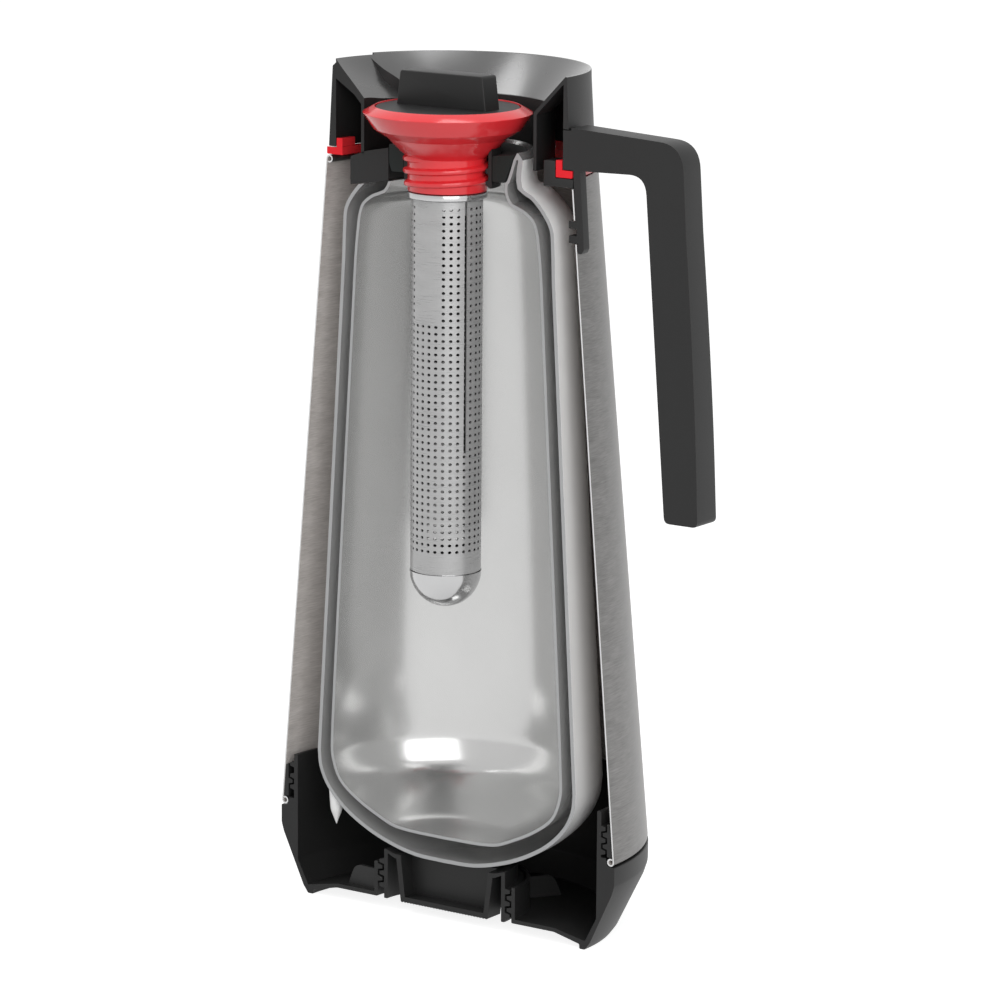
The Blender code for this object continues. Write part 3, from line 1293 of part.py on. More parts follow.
def make_liner(shop, section):
    """Glass liner: vessel and jacket of one glass, with the space between them."""
    item = shop.turned("glass_liner", liner_profile())
    tip = shop.turned("drawn_tip", tip_profile(), SMALL_STEPS // 2, True)
    tip.location = (-math.sqrt(TIP_PLACE_RADIUS**2 - TIP_PLACE_Y**2), TIP_PLACE_Y, 0.0)
    combine(item, tip, "UNION")
    core = shop.turned("vacuum_space", vacuum_profile(), tool=True)
    combine(item, core, "DIFFERENCE")
    notch = shop.turned("saddle_notch", notch_profile(), tool=True, first=QUARTER_STEP)
    first = SADDLE_FIRST_ANGLE - SADDLE_SIDE_GAP_ANGLE
    side = shop.wedge("saddle_side", first, PAST_SECTION_ANGLE)
    combine(notch, side, "INTERSECT")
    combine(item, notch, "DIFFERENCE")
    combine(item, section, "DIFFERENCE")
    return item, side


def make_neck(shop, section, side):
    """Saddle, rubber seal and threaded sleeve in the mouth of the glass."""
    saddle = shop.turned("spout_saddle", saddle_profile())
    slice_ = shop.wedge("saddle_slice", SADDLE_FIRST_ANGLE, PAST_SECTION_ANGLE)
    combine(saddle, slice_, "INTERSECT")
    combine(saddle, section, "DIFFERENCE")
    seal = shop.turned("neck_seal", neck_seal_profile(), SMALL_STEPS)
    turn = math.pi / (2 * SMALL_STEPS)
    relief = shop.turned("seal_relief", seal_relief_profile(), SMALL_STEPS, True, turn)
    combine(relief, side, "INTERSECT")
    combine(seal, relief, "DIFFERENCE")
    combine(seal, section, "DIFFERENCE")
    sleeve = shop.turned("threaded_sleeve", sleeve_profile(), SMALL_STEPS)
    widths = (STOPPER_THREAD_ROOT_WIDTH, STOPPER_THREAD_CREST_WIDTH)
    ridge = shop.thread(
        "sleeve_thread", SLEEVE_INNER_RADIUS + SLEEVE_WALL / 2, SLEEVE_THREAD_CREST, widths,
        STOPPER_THREAD_PITCH, SLEEVE_THREAD_TURNS, SLEEVE_THREAD_START_Z, SMALL_STEPS,
    )
    combine(sleeve, ridge, "UNION")
    combine(sleeve, section, "DIFFERENCE")
    return saddle, seal, sleeve


def make_collar(shop, section):
    """Collar with its bowl, spout, drip groove and window for the handle."""
    item = shop.turned("collar", collar_profile())
    combine(item, spout_trough(shop), "UNION")
    combine(item, spout_cutter(shop), "DIFFERENCE")
    groove = shop.turned("drip_groove", drip_profile(), tool=True, first=QUARTER_STEP)
    first = math.pi - DRIP_HALF_ANGLE
    sector = shop.wedge("drip_sector", first, PAST_SECTION_ANGLE)
    combine(groove, sector, "INTERSECT")
    combine(item, groove, "DIFFERENCE")
    half = HANDLE_ROOT_HALF_WIDTH + GAP
    inside = (THROAT_RADIUS + THROAT_WALL + COLLAR_INNER_RADIUS) / 2
    low = (inside, -half, COLLAR_FOOT_Z - OVERRUN)
    high = (COLLAR_FOOT_RADIUS + OVERRUN, half, HANDLE_ROOT_TOP_Z + GAP)
    combine(item, shop.blocks("handle_window", [(low, high, 0.0)]), "DIFFERENCE")
    combine(item, section, "DIFFERENCE")
    return item


def make_trim(shop, section):
    """Red trim ring whose upright leg is split into clip tabs."""
    item = shop.turned("trim_ring", trim_profile())
    pitch = math.tau / TAB_COUNT
    middle = (TAB_INNER_RADIUS + TAB_OUTER_RADIUS) / 2
    half = middle * pitch * (1 - TAB_SHARE) / 2
    low_z = TRIM_TOP_Z + GAP
    slots = []
    for index in range(TAB_COUNT):
        low = (TAB_INNER_RADIUS - OVERRUN, -half, low_z)
        high = (TAB_OUTER_RADIUS + OVERRUN, half, TAB_TOP_Z + OVERRUN)
        slots.append((low, high, pitch * (index + 0.5)))
    combine(item, shop.blocks("tab_slots", slots), "DIFFERENCE")
    combine(item, section, "DIFFERENCE")
    return item


def make_bracket(shop, section):
    """Bracket inside the mouth of the steel body, with its tongue."""
    item = shop.turned("handle_bracket", bracket_profile())
    tongue = shop.turned("bracket_tongue", tongue_profile(), tool=True, first=QUARTER_STEP)
    foot = BRACKET_FOOT_Z - OVERRUN
    top = BRACKET_TOP_Z + OVERRUN
    reach = BODY_FOOT_RADIUS
    half = BRACKET_HALF_WIDTH
    wide = shop.blocks("bracket_width", [((0.0, -half, foot), (reach, half, top), 0.0)])
    slim = BRACKET_TONGUE_HALF_WIDTH
    thin = shop.blocks("tongue_width", [((0.0, -slim, foot), (reach, slim, top), 0.0)])
    combine(item, wide, "INTERSECT")
    combine(tongue, thin, "INTERSECT")
    combine(item, tongue, "UNION")
    combine(item, section, "DIFFERENCE")
    return item


def make_handle(shop, section):
    """Handle with its root in the collar and its tail snapped into the body."""
    item = shop.plate("handle", handle_outline(), HANDLE_ARM_HALF_WIDTH)
    flare = HANDLE_FOOT_HALF_WIDTH / HANDLE_ARM_HALF_WIDTH
    shop.taper(item, (HANDLE_ARM_FOOT_Z, 1.0), (HANDLE_FOOT_Z, flare))
    item = shop.soften(item, HANDLE_EDGE)
    inside = HANDLE_ROOT_HALF_WIDTH
    low = (COLLAR_INNER_RADIUS, -inside, COLLAR_FOOT_Z)
    high = (COLLAR_FOOT_RADIUS + GAP + HANDLE_EDGE * 2, inside, HANDLE_ROOT_TOP_Z)
    combine(item, shop.blocks("handle_root", [(low, high, 0.0)]), "UNION")
    tail = shop.plate("handle_tail", tail_outline(), TAIL_HALF_WIDTH, True)
    combine(item, tail, "UNION")
    stud = stud_tool(shop, "snap_stud", STUD_RADIUS)
    near = sheet_radius(SNAP_Z) - STUD_REACH - OVERRUN
    low = (near, -STUD_RADIUS * 2, SNAP_Z - STUD_SLOT / 2)
    high = (sheet_radius(SNAP_Z) + GAP, STUD_RADIUS * 2, SNAP_Z + STUD_SLOT / 2)
    combine(stud, shop.blocks("stud_slot", [(low, high, 0.0)]), "DIFFERENCE")
    combine(item, stud, "UNION")
    combine(item, section, "DIFFERENCE")
    return item


def make_stopper(shop):
    """Red stopper with its thread, and the cap with its grip."""
    seal = shop.turned("stopper_seal", stopper_profile(), SMALL_STEPS)
    widths = (STOPPER_THREAD_ROOT_WIDTH, STOPPER_THREAD_CREST_WIDTH)
    buried = (SPIGOT_RADIUS + SEAL_CORE_RADIUS) / 2
    ridge = shop.thread(
        "stopper_thread", buried, STOPPER_THREAD_CREST, widths, STOPPER_THREAD_PITCH,
        STOPPER_THREAD_TURNS, STOPPER_THREAD_START_Z, SMALL_STEPS,
    )
    combine(seal, ridge, "UNION")
    cap = shop.turned("stopper_cap", cap_profile(), SMALL_STEPS)
    grip = shop.plate("grip", grip_outline(), GRIP_HALF_THICKNESS, True)
    combine(cap, grip, "UNION")
    return seal, cap


def make_infuser(shop):
    """Infuser: collar, perforated tube with its slot, and domed end cap."""
    collar = shop.turned("infuser_collar", flange_profile(), SMALL_STEPS)
    first = HOLE_FIRST_ANGLE + math.pi / TUBE_STEPS
    tube = shop.turned("infuser_tube", tube_profile(), TUBE_STEPS, first=first)
    inner = INFUSER_RADIUS - INFUSER_WALL - OVERRUN
    outer = INFUSER_RADIUS + OVERRUN
    top = FLANGE_TOP_Z
    half = INFUSER_SLOT_WIDTH / 2
    cuts = [((inner, -half, INFUSER_SLOT_FOOT_Z), (outer, half, top), INFUSER_SLOT_ANGLE)]
    column = math.tau / TUBE_STEPS
    for index in range(0, TUBE_STEPS, HOLE_COLUMN_STEP):
        angle = HOLE_FIRST_ANGLE + index * column
        for row in range(HOLE_ROWS):
            shift = (index // HOLE_COLUMN_STEP) % 2 * HOLE_ROW_PITCH / 2
            height = HOLE_TOP_Z - row * HOLE_ROW_PITCH - shift
            low = (inner, -HOLE_WIDTH / 2, height - HOLE_WIDTH / 2)
            high = (outer, HOLE_WIDTH / 2, height + HOLE_WIDTH / 2)
            cuts.append((low, high, angle))
    combine(tube, shop.blocks("tube_holes", cuts), "DIFFERENCE")
    tip = shop.turned("infuser_cap", tip_cap_profile(), TUBE_STEPS, first=first)
    return collar, tube, tip


def build():
    """Makes every piece of the jug."""
    shop = Workshop()
    reach = HANDLE_REACH + OVERRUN
    low = (-reach, -reach, -OVERRUN)
    high = (reach, 0.0, RIM_Z + OVERRUN)
    section = shop.blocks("section_block", [(low, high, 0.0)])
    black = {"roughness": 0.42, "metallic": 0.0}
    steel = {"roughness": 0.32, "metallic": 1.0}
    red = {"roughness": 0.25, "metallic": 0.0}
    glass = {"roughness": 0.08, "metallic": 0.6}
    body = make_body(shop, section)
    base = make_base(shop, section)
    ring = make_ring(shop, section)
    plug = make_plug(shop, section)
    liner, side = make_liner(shop, section)
    saddle, seal, sleeve = make_neck(shop, section, side)
    collar = make_collar(shop, section)
    trim = make_trim(shop, section)
    bracket = make_bracket(shop, section)
    handle = make_handle(shop, section)
    stopper, cap = make_stopper(shop)
    flange, tube, tip = make_infuser(shop)
    looks = (
        (body, STEEL_COLOR, steel),
        (base, BLACK_COLOR, black),
        (ring, BLACK_COLOR, black),
        (plug, BLACK_COLOR, black),
        (liner, GLASS_COLOR, glass),
        (saddle, BLACK_COLOR, black),
        (seal, RUBBER_COLOR, {"roughness": 0.7, "metallic": 0.0}),
        (sleeve, BLACK_COLOR, black),
        (collar, BLACK_COLOR, black),
        (trim, RED_COLOR, red),
        (bracket, BLACK_COLOR, black),
        (handle, BLACK_COLOR, black),
        (stopper, RED_COLOR, red),
        (cap, BLACK_COLOR, black),
        (flange, STEEL_COLOR, steel),
        (tube, STEEL_COLOR, steel),
        (tip, STEEL_COLOR, steel),
    )
    for item, color, look in looks:
        item.data.materials.append(make_material(f"{item.name}_look", color, **look))


if __name__ == "__main__":
    build()
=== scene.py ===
"""Sectioned thermal jug with its screw stopper and perforated infuser, in a pale studio."""
import logging
import math
from collections.abc import Callable
from dataclasses import dataclass
from enum import Enum

import bmesh
import bpy
from mathutils import Matrix, Vector


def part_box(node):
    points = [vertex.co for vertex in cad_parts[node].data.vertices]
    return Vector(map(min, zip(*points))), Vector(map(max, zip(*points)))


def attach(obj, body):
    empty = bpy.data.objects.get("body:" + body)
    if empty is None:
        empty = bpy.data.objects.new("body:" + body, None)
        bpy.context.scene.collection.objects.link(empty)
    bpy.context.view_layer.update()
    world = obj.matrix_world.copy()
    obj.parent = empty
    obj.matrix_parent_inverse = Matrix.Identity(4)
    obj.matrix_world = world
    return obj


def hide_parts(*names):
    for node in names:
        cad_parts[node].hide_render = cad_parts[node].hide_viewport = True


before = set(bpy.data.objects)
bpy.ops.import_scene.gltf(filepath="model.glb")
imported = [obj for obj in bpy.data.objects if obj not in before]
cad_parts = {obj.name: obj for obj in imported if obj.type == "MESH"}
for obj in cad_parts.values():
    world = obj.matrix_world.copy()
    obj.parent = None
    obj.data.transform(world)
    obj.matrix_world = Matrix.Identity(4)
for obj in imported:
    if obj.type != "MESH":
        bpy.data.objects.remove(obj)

MM = 0.001
LOG = logging.getLogger("jug")
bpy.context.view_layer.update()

Point = tuple[float, float]
Spot = tuple[float, float, float]
Outline = list[Point]
Color = tuple[float, float, float]
Shaped = Outline | Callable[[float], Outline]


class Body(Enum):
    """Bodies of the frame that pieces ride on."""

    JUG = "root"
    INFUSER = "infuser"
    STOPPER = "stopper"


class Slot(Enum):
    """Material slots of the record."""

    STEEL = "steel_body"
    BLACK = "black_plastic"
    GLASS = "silvered_glass"
    RED = "red_plastic"
    RUBBER = "black_rubber"
    INFUSER = "infuser_steel"


class Join(Enum):
    """Ways in which two solids are combined."""

    ADD = "UNION"
    TAKE = "DIFFERENCE"
    KEEP = "INTERSECT"


class ShaderGroup:
    """Shader node group with named inputs and outputs, built once."""

    def __init__(self, name: str, inputs: dict[str, float], outputs: tuple[str, ...]) -> None:
        """Makes the empty group.

        Args:
            name: Name of the group.
            inputs: Float inputs with their usual values.
            outputs: Float outputs.
        """
        self.tree = bpy.data.node_groups.new(name, "ShaderNodeTree")
        face = self.tree.interface
        for label, value in inputs.items():
            socket = face.new_socket(name=label, in_out="INPUT", socket_type="NodeSocketFloat")
            socket.default_value = value
        for label in outputs:
            face.new_socket(name=label, in_out="OUTPUT", socket_type="NodeSocketFloat")
        self.source = self.tree.nodes.new("NodeGroupInput")
        self.result = self.tree.nodes.new("NodeGroupOutput")

    def node(self, kind: str, **values: object) -> bpy.types.Node:
        """Adds a node and sets its properties."""
        item = self.tree.nodes.new(kind)
        for label, value in values.items():
            setattr(item, label, value)
        return item

    def link(self, start: object, end: object) -> None:
        """Joins two sockets."""
        self.tree.links.new(start, end)

    def math(self, operation: str, first: object, second: object) -> object:
        """Adds a Math node and returns its output.

        Args:
            operation: Name of the operation.
            first: Socket or number for the first input.
            second: Socket or number for the second input.

        Returns:
            The output socket.
        """
        item = self.node("ShaderNodeMath", operation=operation)
        for index, value in enumerate((first, second)):
            if isinstance(value, (int, float)):
                item.inputs[index].default_value = value
            else:
                self.link(value, item.inputs[index])
        return item.outputs[0]


class Textures:
    """Procedural effects that several finishes share."""

    def __init__(self, axis: "JugAxis") -> None:
        """Builds the three groups about the jug's axis."""
        self.axis = axis
        self.streaks = self.make_streaks()
        self.grain = self.make_grain()
        self.smudges = self.make_smudges()

    def around(self, group: ShaderGroup, along: object, across: object) -> object:
        """Coordinates that run round the jug and up it.

        Args:
            group: Group that the nodes go into.
            along: Socket for the scale round the jug.
            across: Socket for the scale up the jug.

        Returns:
            A vector socket.
        """
        place = group.node("ShaderNodeTexCoord")
        split = group.node("ShaderNodeSeparateXYZ")
        group.link(place.outputs["Object"], split.inputs[0])
        x = group.math("SUBTRACT", split.outputs["X"], self.axis.x)
        y = group.math("SUBTRACT", split.outputs["Y"], self.axis.y)
        angle = group.math("ARCTAN2", y, x)
        joined = group.node("ShaderNodeCombineXYZ")
        group.link(group.math("MULTIPLY", angle, along), joined.inputs["X"])
        group.link(group.math("MULTIPLY", split.outputs["Z"], across), joined.inputs["Y"])
        return joined.outputs[0]

    def make_streaks(self) -> ShaderGroup:
        """Fine brushed lines that run round a turned sheet."""
        sizes = {"Along": 9.0, "Across": 2200.0, "Coarse": 0.35, "Contrast": 2.0}
        group = ShaderGroup("BrushedStreaks", sizes, ("Streak", "Height"))
        along = group.source.outputs["Along"]
        across = group.source.outputs["Across"]
        fine = group.node("ShaderNodeTexNoise")
        fine.inputs["Scale"].default_value = 1.0
        fine.inputs["Detail"].default_value = 3.0
        fine.inputs["Roughness"].default_value = 0.65
        group.link(self.around(group, along, across), fine.inputs["Vector"])
        wide = group.node("ShaderNodeTexNoise")
        wide.inputs["Scale"].default_value = 1.0
        wide.inputs["Detail"].default_value = 2.0
        slower = group.math("MULTIPLY", across, 0.12)
        group.link(self.around(group, group.math("MULTIPLY", along, 0.5), slower), wide.inputs["Vector"])
        coarse = group.math("MULTIPLY", wide.outputs["Fac"], group.source.outputs["Coarse"])
        rest = group.math("SUBTRACT", 1.0, group.source.outputs["Coarse"])
        share = group.math("MULTIPLY", fine.outputs["Fac"], rest)
        mixed = group.math("SUBTRACT", group.math("ADD", coarse, share), 0.5)
        spread = group.math("MULTIPLY", mixed, group.source.outputs["Contrast"])
        group.link(group.math("ADD", spread, 0.5), group.result.inputs["Streak"])
        group.link(fine.outputs["Fac"], group.result.inputs["Height"])
        return group

    def make_grain(self) -> ShaderGroup:
        """Fine moulded or sprayed grain with a slow change over it."""
        group = ShaderGroup("MouldedGrain", {"Size": 1800.0, "Drift": 60.0}, ("Grain", "Drift"))
        place = group.node("ShaderNodeTexCoord")
        fine = group.node("ShaderNodeTexNoise")
        fine.inputs["Detail"].default_value = 2.0
        group.link(place.outputs["Object"], fine.inputs["Vector"])
        group.link(group.source.outputs["Size"], fine.inputs["Scale"])
        slow = group.node("ShaderNodeTexNoise")
        slow.inputs["Detail"].default_value = 3.0
        group.link(place.outputs["Object"], slow.inputs["Vector"])
        group.link(group.source.outputs["Drift"], slow.inputs["Scale"])
        group.link(fine.outputs["Fac"], group.result.inputs["Grain"])
        group.link(slow.outputs["Fac"], group.result.inputs["Drift"])
        return group

    def make_smudges(self) -> ShaderGroup:
        """Soft uneven patches of a silvered or handled surface."""
        group = ShaderGroup("SoftSmudges", {"Size": 22.0, "Contrast": 1.0}, ("Smudge",))
        place = group.node("ShaderNodeTexCoord")
        patch = group.node("ShaderNodeTexNoise")
        patch.inputs["Detail"].default_value = 4.0
        patch.inputs["Distortion"].default_value = 0.6
        group.link(place.outputs["Object"], patch.inputs["Vector"])
        group.link(group.source.outputs["Size"], patch.inputs["Scale"])
        middle = group.math("SUBTRACT", patch.outputs["Fac"], 0.5)
        spread = group.math("MULTIPLY", middle, group.source.outputs["Contrast"])
        group.link(group.math("ADD", spread, 0.5), group.result.inputs["Smudge"])
        return group


@dataclass(frozen=True)
class Finish:
    """One surface finish: two colours, a roughness range, and the effect that mixes them.

    Args of the dataclass are plain numbers; the texture group gives what changes over the surface.
    """

    name: str
    dark: Color
    light: Color
    rough: Point
    metallic: float = 0.0
    effect: str = "grain"
    group_values: tuple[tuple[str, float], ...] = ()
    bump: float = 0.0
    bump_distance: float = 0.00002
    coat: float = 0.0
    coat_rough: float = 0.1
    specular: float = 0.5
    anisotropic: float = 0.0

    def build(self, textures: Textures) -> bpy.types.Material:
        """Makes the material.

        Args:
            textures: The shared groups.

        Returns:
            The new material.
        """
        material = bpy.data.materials.new(self.name)
        material.use_nodes = True
        nodes = material.node_tree.nodes
        links = material.node_tree.links
        shader = nodes["Principled BSDF"]
        shader.inputs["Metallic"].default_value = self.metallic
        shader.inputs["Coat Weight"].default_value = self.coat
        shader.inputs["Coat Roughness"].default_value = self.coat_rough
        shader.inputs["Specular IOR Level"].default_value = self.specular
        shader.inputs["Anisotropic"].default_value = self.anisotropic
        group = nodes.new("ShaderNodeGroup")
        group.node_tree = getattr(textures, self.effect).tree
        for label, value in self.group_values:
            group.inputs[label].default_value = value
        value = group.outputs[0]
        drift = group.outputs["Drift"] if self.effect == "grain" else value
        tint = nodes.new("ShaderNodeMix")
        tint.data_type = "RGBA"
        tint.inputs["A"].default_value = (*self.dark, 1.0)
        tint.inputs["B"].default_value = (*self.light, 1.0)
        links.new(drift, tint.inputs["Factor"])
        links.new(tint.outputs["Result"], shader.inputs["Base Color"])
        rough = nodes.new("ShaderNodeMapRange")
        rough.inputs["To Min"].default_value = self.rough[0]
        rough.inputs["To Max"].default_value = self.rough[1]
        links.new(drift, rough.inputs["Value"])
        links.new(rough.outputs["Result"], shader.inputs["Roughness"])
        if self.bump:
            bump = nodes.new("ShaderNodeBump")
            bump.inputs["Strength"].default_value = self.bump
            bump.inputs["Distance"].default_value = self.bump_distance
            links.new(value, bump.inputs["Height"])
            links.new(bump.outputs["Normal"], shader.inputs["Normal"])
        return material


@dataclass(frozen=True)
class JugAxis:
    """Place of the jug's axis in the frame."""

    x: float
    y: float

    @classmethod
    def from_base(cls) -> "JugAxis":
        """Reads the axis from the base cup, which the section cuts through its middle."""
        low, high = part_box("base_cup")
        return cls((low[0] + high[0]) / 2, low[1])

    def point(self, x: float, y: float, z: float) -> Vector:
        """Turns a point about the jug's axis in millimetres into the frame's metres."""
        return Vector((self.x + x * MM, self.y + y * MM, z * MM))


class FinishShelf:
    """All finishes of the jug, each built once."""

    PLAN = (
        Finish("brushed_steel_outside", (0.10, 0.098, 0.096), (0.27, 0.265, 0.26), (0.30, 0.46), 0.9,
               "streaks", (("Along", 10.0), ("Across", 2100.0)), 0.25, 0.00003, anisotropic=0.4),
        Finish("brushed_steel_inside", (0.36, 0.335, 0.315), (0.66, 0.625, 0.60), (0.45, 0.6), 0.0,
               "streaks", (("Along", 12.0), ("Across", 2300.0)), 0.25, 0.00003),
        Finish("sheared_steel_edge", (0.80, 0.80, 0.80), (0.92, 0.92, 0.92), (0.3, 0.4), 0.0),
        Finish("silvered_vessel", (0.50, 0.50, 0.495), (0.60, 0.60, 0.595), (0.16, 0.22), 0.75,
               "smudges", (("Size", 24.0), ("Contrast", 0.8)), coat=0.3, coat_rough=0.05),
        Finish("silvered_jacket", (0.90, 0.90, 0.895), (0.97, 0.97, 0.965), (0.30, 0.42), 0.0,
               "smudges", (("Size", 30.0), ("Contrast", 0.8)), coat=0.3, coat_rough=0.08),
        Finish("silvered_space", (0.66, 0.66, 0.655), (0.80, 0.80, 0.795), (0.16, 0.24), 0.7,
               "smudges", (("Size", 30.0), ("Contrast", 0.8))),
        Finish("cut_glass_edge", (0.34, 0.345, 0.35), (0.44, 0.445, 0.45), (0.15, 0.25), 0.0, coat=0.5),
        Finish("satin_black", (0.011, 0.011, 0.011), (0.016, 0.016, 0.016), (0.42, 0.52), 0.0,
               "grain", (("Size", 2600.0), ("Drift", 45.0)), 0.12, 0.00001, specular=0.3),
        # Bowl black: a glossier coat, and a lighter colour than satin_black that is painted sheen of the
        # light from above.
        Finish("bowl_painted_sheen_black", (0.030, 0.030, 0.030), (0.040, 0.040, 0.040), (0.24, 0.32), 0.0,
               "grain", (("Size", 2600.0), ("Drift", 45.0)), 0.05, 0.00001, coat=0.8, coat_rough=0.2,
               specular=0.8),
        Finish("cut_black", (0.026, 0.026, 0.026), (0.031, 0.031, 0.031), (0.6, 0.7), 0.0,
               "grain", (("Size", 1500.0), ("Drift", 80.0)), 0.05, 0.00001, specular=0.2),
        Finish("gloss_red", (0.74, 0.026, 0.034), (0.84, 0.034, 0.044), (0.12, 0.18), 0.0,
               "grain", (("Size", 900.0), ("Drift", 50.0)), 0.03, 0.00002, specular=0.55),
        Finish("cut_red", (0.84, 0.018, 0.028), (0.92, 0.024, 0.036), (0.5, 0.6), 0.0, specular=0.2),
        Finish("matt_rubber", (0.016, 0.018, 0.018), (0.024, 0.027, 0.027), (0.6, 0.75), 0.0,
               "grain", (("Size", 2200.0), ("Drift", 70.0)), 0.2, 0.00002),
        Finish("cut_rubber", (0.012, 0.016, 0.015), (0.016, 0.020, 0.019), (0.6, 0.7), 0.0, specular=0.2),
        Finish("infuser_sheet", (0.36, 0.36, 0.36), (0.46, 0.46, 0.46), (0.24, 0.34), 0.3,
               "streaks", (("Along", 2.0), ("Across", 2600.0), ("Coarse", 0.5)), 0.1, 0.00002),
        # Near-black finish for the tube's inner faces: painted shade inside the tube, which is the same
        # steel.
        Finish("infuser_inside_painted_shade", (0.020, 0.020, 0.020), (0.035, 0.035, 0.035), (0.4, 0.5), 0.0),
        Finish("infuser_polished", (0.44, 0.44, 0.445), (0.54, 0.54, 0.54), (0.10, 0.18), 0.85,
               "smudges", (("Size", 60.0),)),
    )

    def __init__(self, textures: Textures) -> None:
        """Builds every finish of the plan."""
        self.made = {finish.name: finish.build(textures) for finish in self.PLAN}

    def __getitem__(self, name: str) -> bpy.types.Material:
        """The material of a finish."""
        return self.made[name]


class Bench:
    """Makes and joins solids about the jug's axis, with sizes in millimetres."""

    def __init__(self, axis: JugAxis, shelf: FinishShelf) -> None:
        """Keeps the axis and the finishes."""
        self.axis = axis
        self.shelf = shelf

    def piece(self, name: str, shape: bmesh.types.BMesh, sharp: float = 32.0) -> bpy.types.Object:
        """Turns a shape in millimetres into a shaded object in the frame.

        Args:
            name: Name of the object.
            shape: Shape, which is freed.
            sharp: Angle in degrees above which an edge stays sharp.

        Returns:
            The new object.
        """
        bmesh.ops.recalc_face_normals(shape, faces=shape.faces)
        move = Matrix.Translation(self.axis.point(0.0, 0.0, 0.0)) @ Matrix.Scale(MM, 4)
        shape.transform(move)
        mesh = bpy.data.meshes.new(name)
        shape.to_mesh(mesh)
        shape.free()
        item = bpy.data.objects.new(name, mesh)
        bpy.context.collection.objects.link(item)
        self.shade(item, sharp)
        return item

    def loose(self, name: str, shape: bmesh.types.BMesh) -> bpy.types.Object:
        """Turns a shape in millimetres into a piece about the origin, to be repeated."""
        return self.centred(self.piece(name, shape))

    def centred(self, item: bpy.types.Object) -> bpy.types.Object:
        """Moves a piece's mesh from the jug's axis to the origin."""
        item.data.transform(Matrix.Translation(-self.axis.point(0.0, 0.0, 0.0)))
        return item

    @staticmethod
    def shade(item: bpy.types.Object, sharp: float = 32.0) -> None:
        """Smooth shading that breaks at sharp edges."""
        item.data.shade_smooth()
        item.data.set_sharp_from_angle(angle=math.radians(sharp))

    def turned(
        self, name: str, outline: Shaped, first: float = 0.0, last: float = 180.0,
        steps: int = 192, marks: list[int] | None = None,
    ) -> bpy.types.Object:
        """Turns a closed outline of radius and height into a closed solid.

        Args:
            name: Name of the object.
            outline: Points of radius and height, or a function that gives them for an
                angle in degrees; points on the axis have radius 0.
            first: First angle in degrees from +X.
            last: Last angle; a whole turn has no end faces.
            steps: Steps of a whole turn.
            marks: Finish number of each side of the outline.

        Returns:
            The new object.
        """
        section = outline if callable(outline) else lambda angle: outline
        whole = last - first >= 360.0
        count = max(2, round(steps * (last - first) / 360.0))
        shape = bmesh.new()
        start = section(first)
        hubs = {i: shape.verts.new((0.0, 0.0, z)) for i, (r, z) in enumerate(start) if r == 0.0}
        rows = []
        for index in range(count if whole else count + 1):
            degrees = first + (last - first) * index / count
            angle = math.radians(degrees)
            row = []
            for place, (radius, height) in enumerate(section(degrees)):
                if place in hubs:
                    row.append(hubs[place])
                else:
                    spot = (radius * math.cos(angle), radius * math.sin(angle), height)
                    row.append(shape.verts.new(spot))
            rows.append(row)
        if not whole:
            shape.faces.new(rows[0])
            shape.faces.new(list(reversed(rows[-1])))
        pairs = list(zip(rows, rows[1:] + rows[:1])) if whole else list(zip(rows, rows[1:]))
        for near, far in pairs:
            for place in range(len(start)):
                after = (place + 1) % len(start)
                ring = [near[place], near[after], far[after], far[place]]
                corners = list(dict.fromkeys(ring))
                if len(corners) > 2:
                    face = shape.faces.new(corners)
                    face.material_index = marks[place] if marks else 0
        return self.piece(name, shape)

    def plate(
        self, name: str, outline: Outline, half: float, edge: float = 0.0, turn: float = 0.0,
        flare: Callable[[float], float] | None = None,
    ) -> bpy.types.Object:
        """Extrudes an outline of X and height to both sides of the section plane.

        Args:
            name: Name of the object.
            outline: Corners in order.
            half: Half of the plate's width.
            edge: Width of its rounded edges, or 0.
            turn: Angle about the axis in degrees.
            flare: Share of the width at a height.

        Returns:
            The new object.
        """
        shape = bmesh.new()
        sides = []
        for side in (-1.0, 1.0):
            row = []
            for x, z in outline:
                width = half * (flare(z) if flare else 1.0)
                row.append(shape.verts.new((x, side * width, z)))
            sides.append(row)
        shape.faces.new(sides[0])
        shape.faces.new(list(reversed(sides[1])))
        for place in range(len(outline)):
            after = (place + 1) % len(outline)
            shape.faces.new((sides[0][place], sides[0][after], sides[1][after], sides[1][place]))
        if edge:
            long = [e for f in shape.faces if len(f.verts) == len(outline) for e in f.edges]
            bmesh.ops.recalc_face_normals(shape, faces=shape.faces)
            bmesh.ops.bevel(shape, geom=long, offset=edge, segments=4, profile=0.5, affect="EDGES")
        shape.transform(Matrix.Rotation(math.radians(turn), 4, "Z"))
        return self.piece(name, shape)

    def loft(self, name: str, rings: list[list[Spot]]) -> bpy.types.Object:
        """Joins rings of equal length into one closed solid with capped ends."""
        shape = bmesh.new()
        rows = [[shape.verts.new(point) for point in ring] for ring in rings]
        for near, far in zip(rows, rows[1:]):
            for index in range(len(near)):
                after = (index + 1) % len(near)
                shape.faces.new((near[index], near[after], far[after], far[index]))
        shape.faces.new(list(reversed(rows[0])))
        shape.faces.new(rows[-1])
        return self.piece(name, shape)

    @staticmethod
    def join(name: str, *items: bpy.types.Object) -> bpy.types.Object:
        """Puts several pieces into the mesh of the first, which is renamed."""
        shape = bmesh.new()
        for item in items:
            shape.from_mesh(item.data)
        bmesh.ops.remove_doubles(shape, verts=shape.verts, dist=0.000001)
        first, others = items[0], items[1:]
        shape.to_mesh(first.data)
        shape.free()
        for item in others:
            bpy.data.objects.remove(item)
        first.name = name
        Bench.shade(first)
        return first

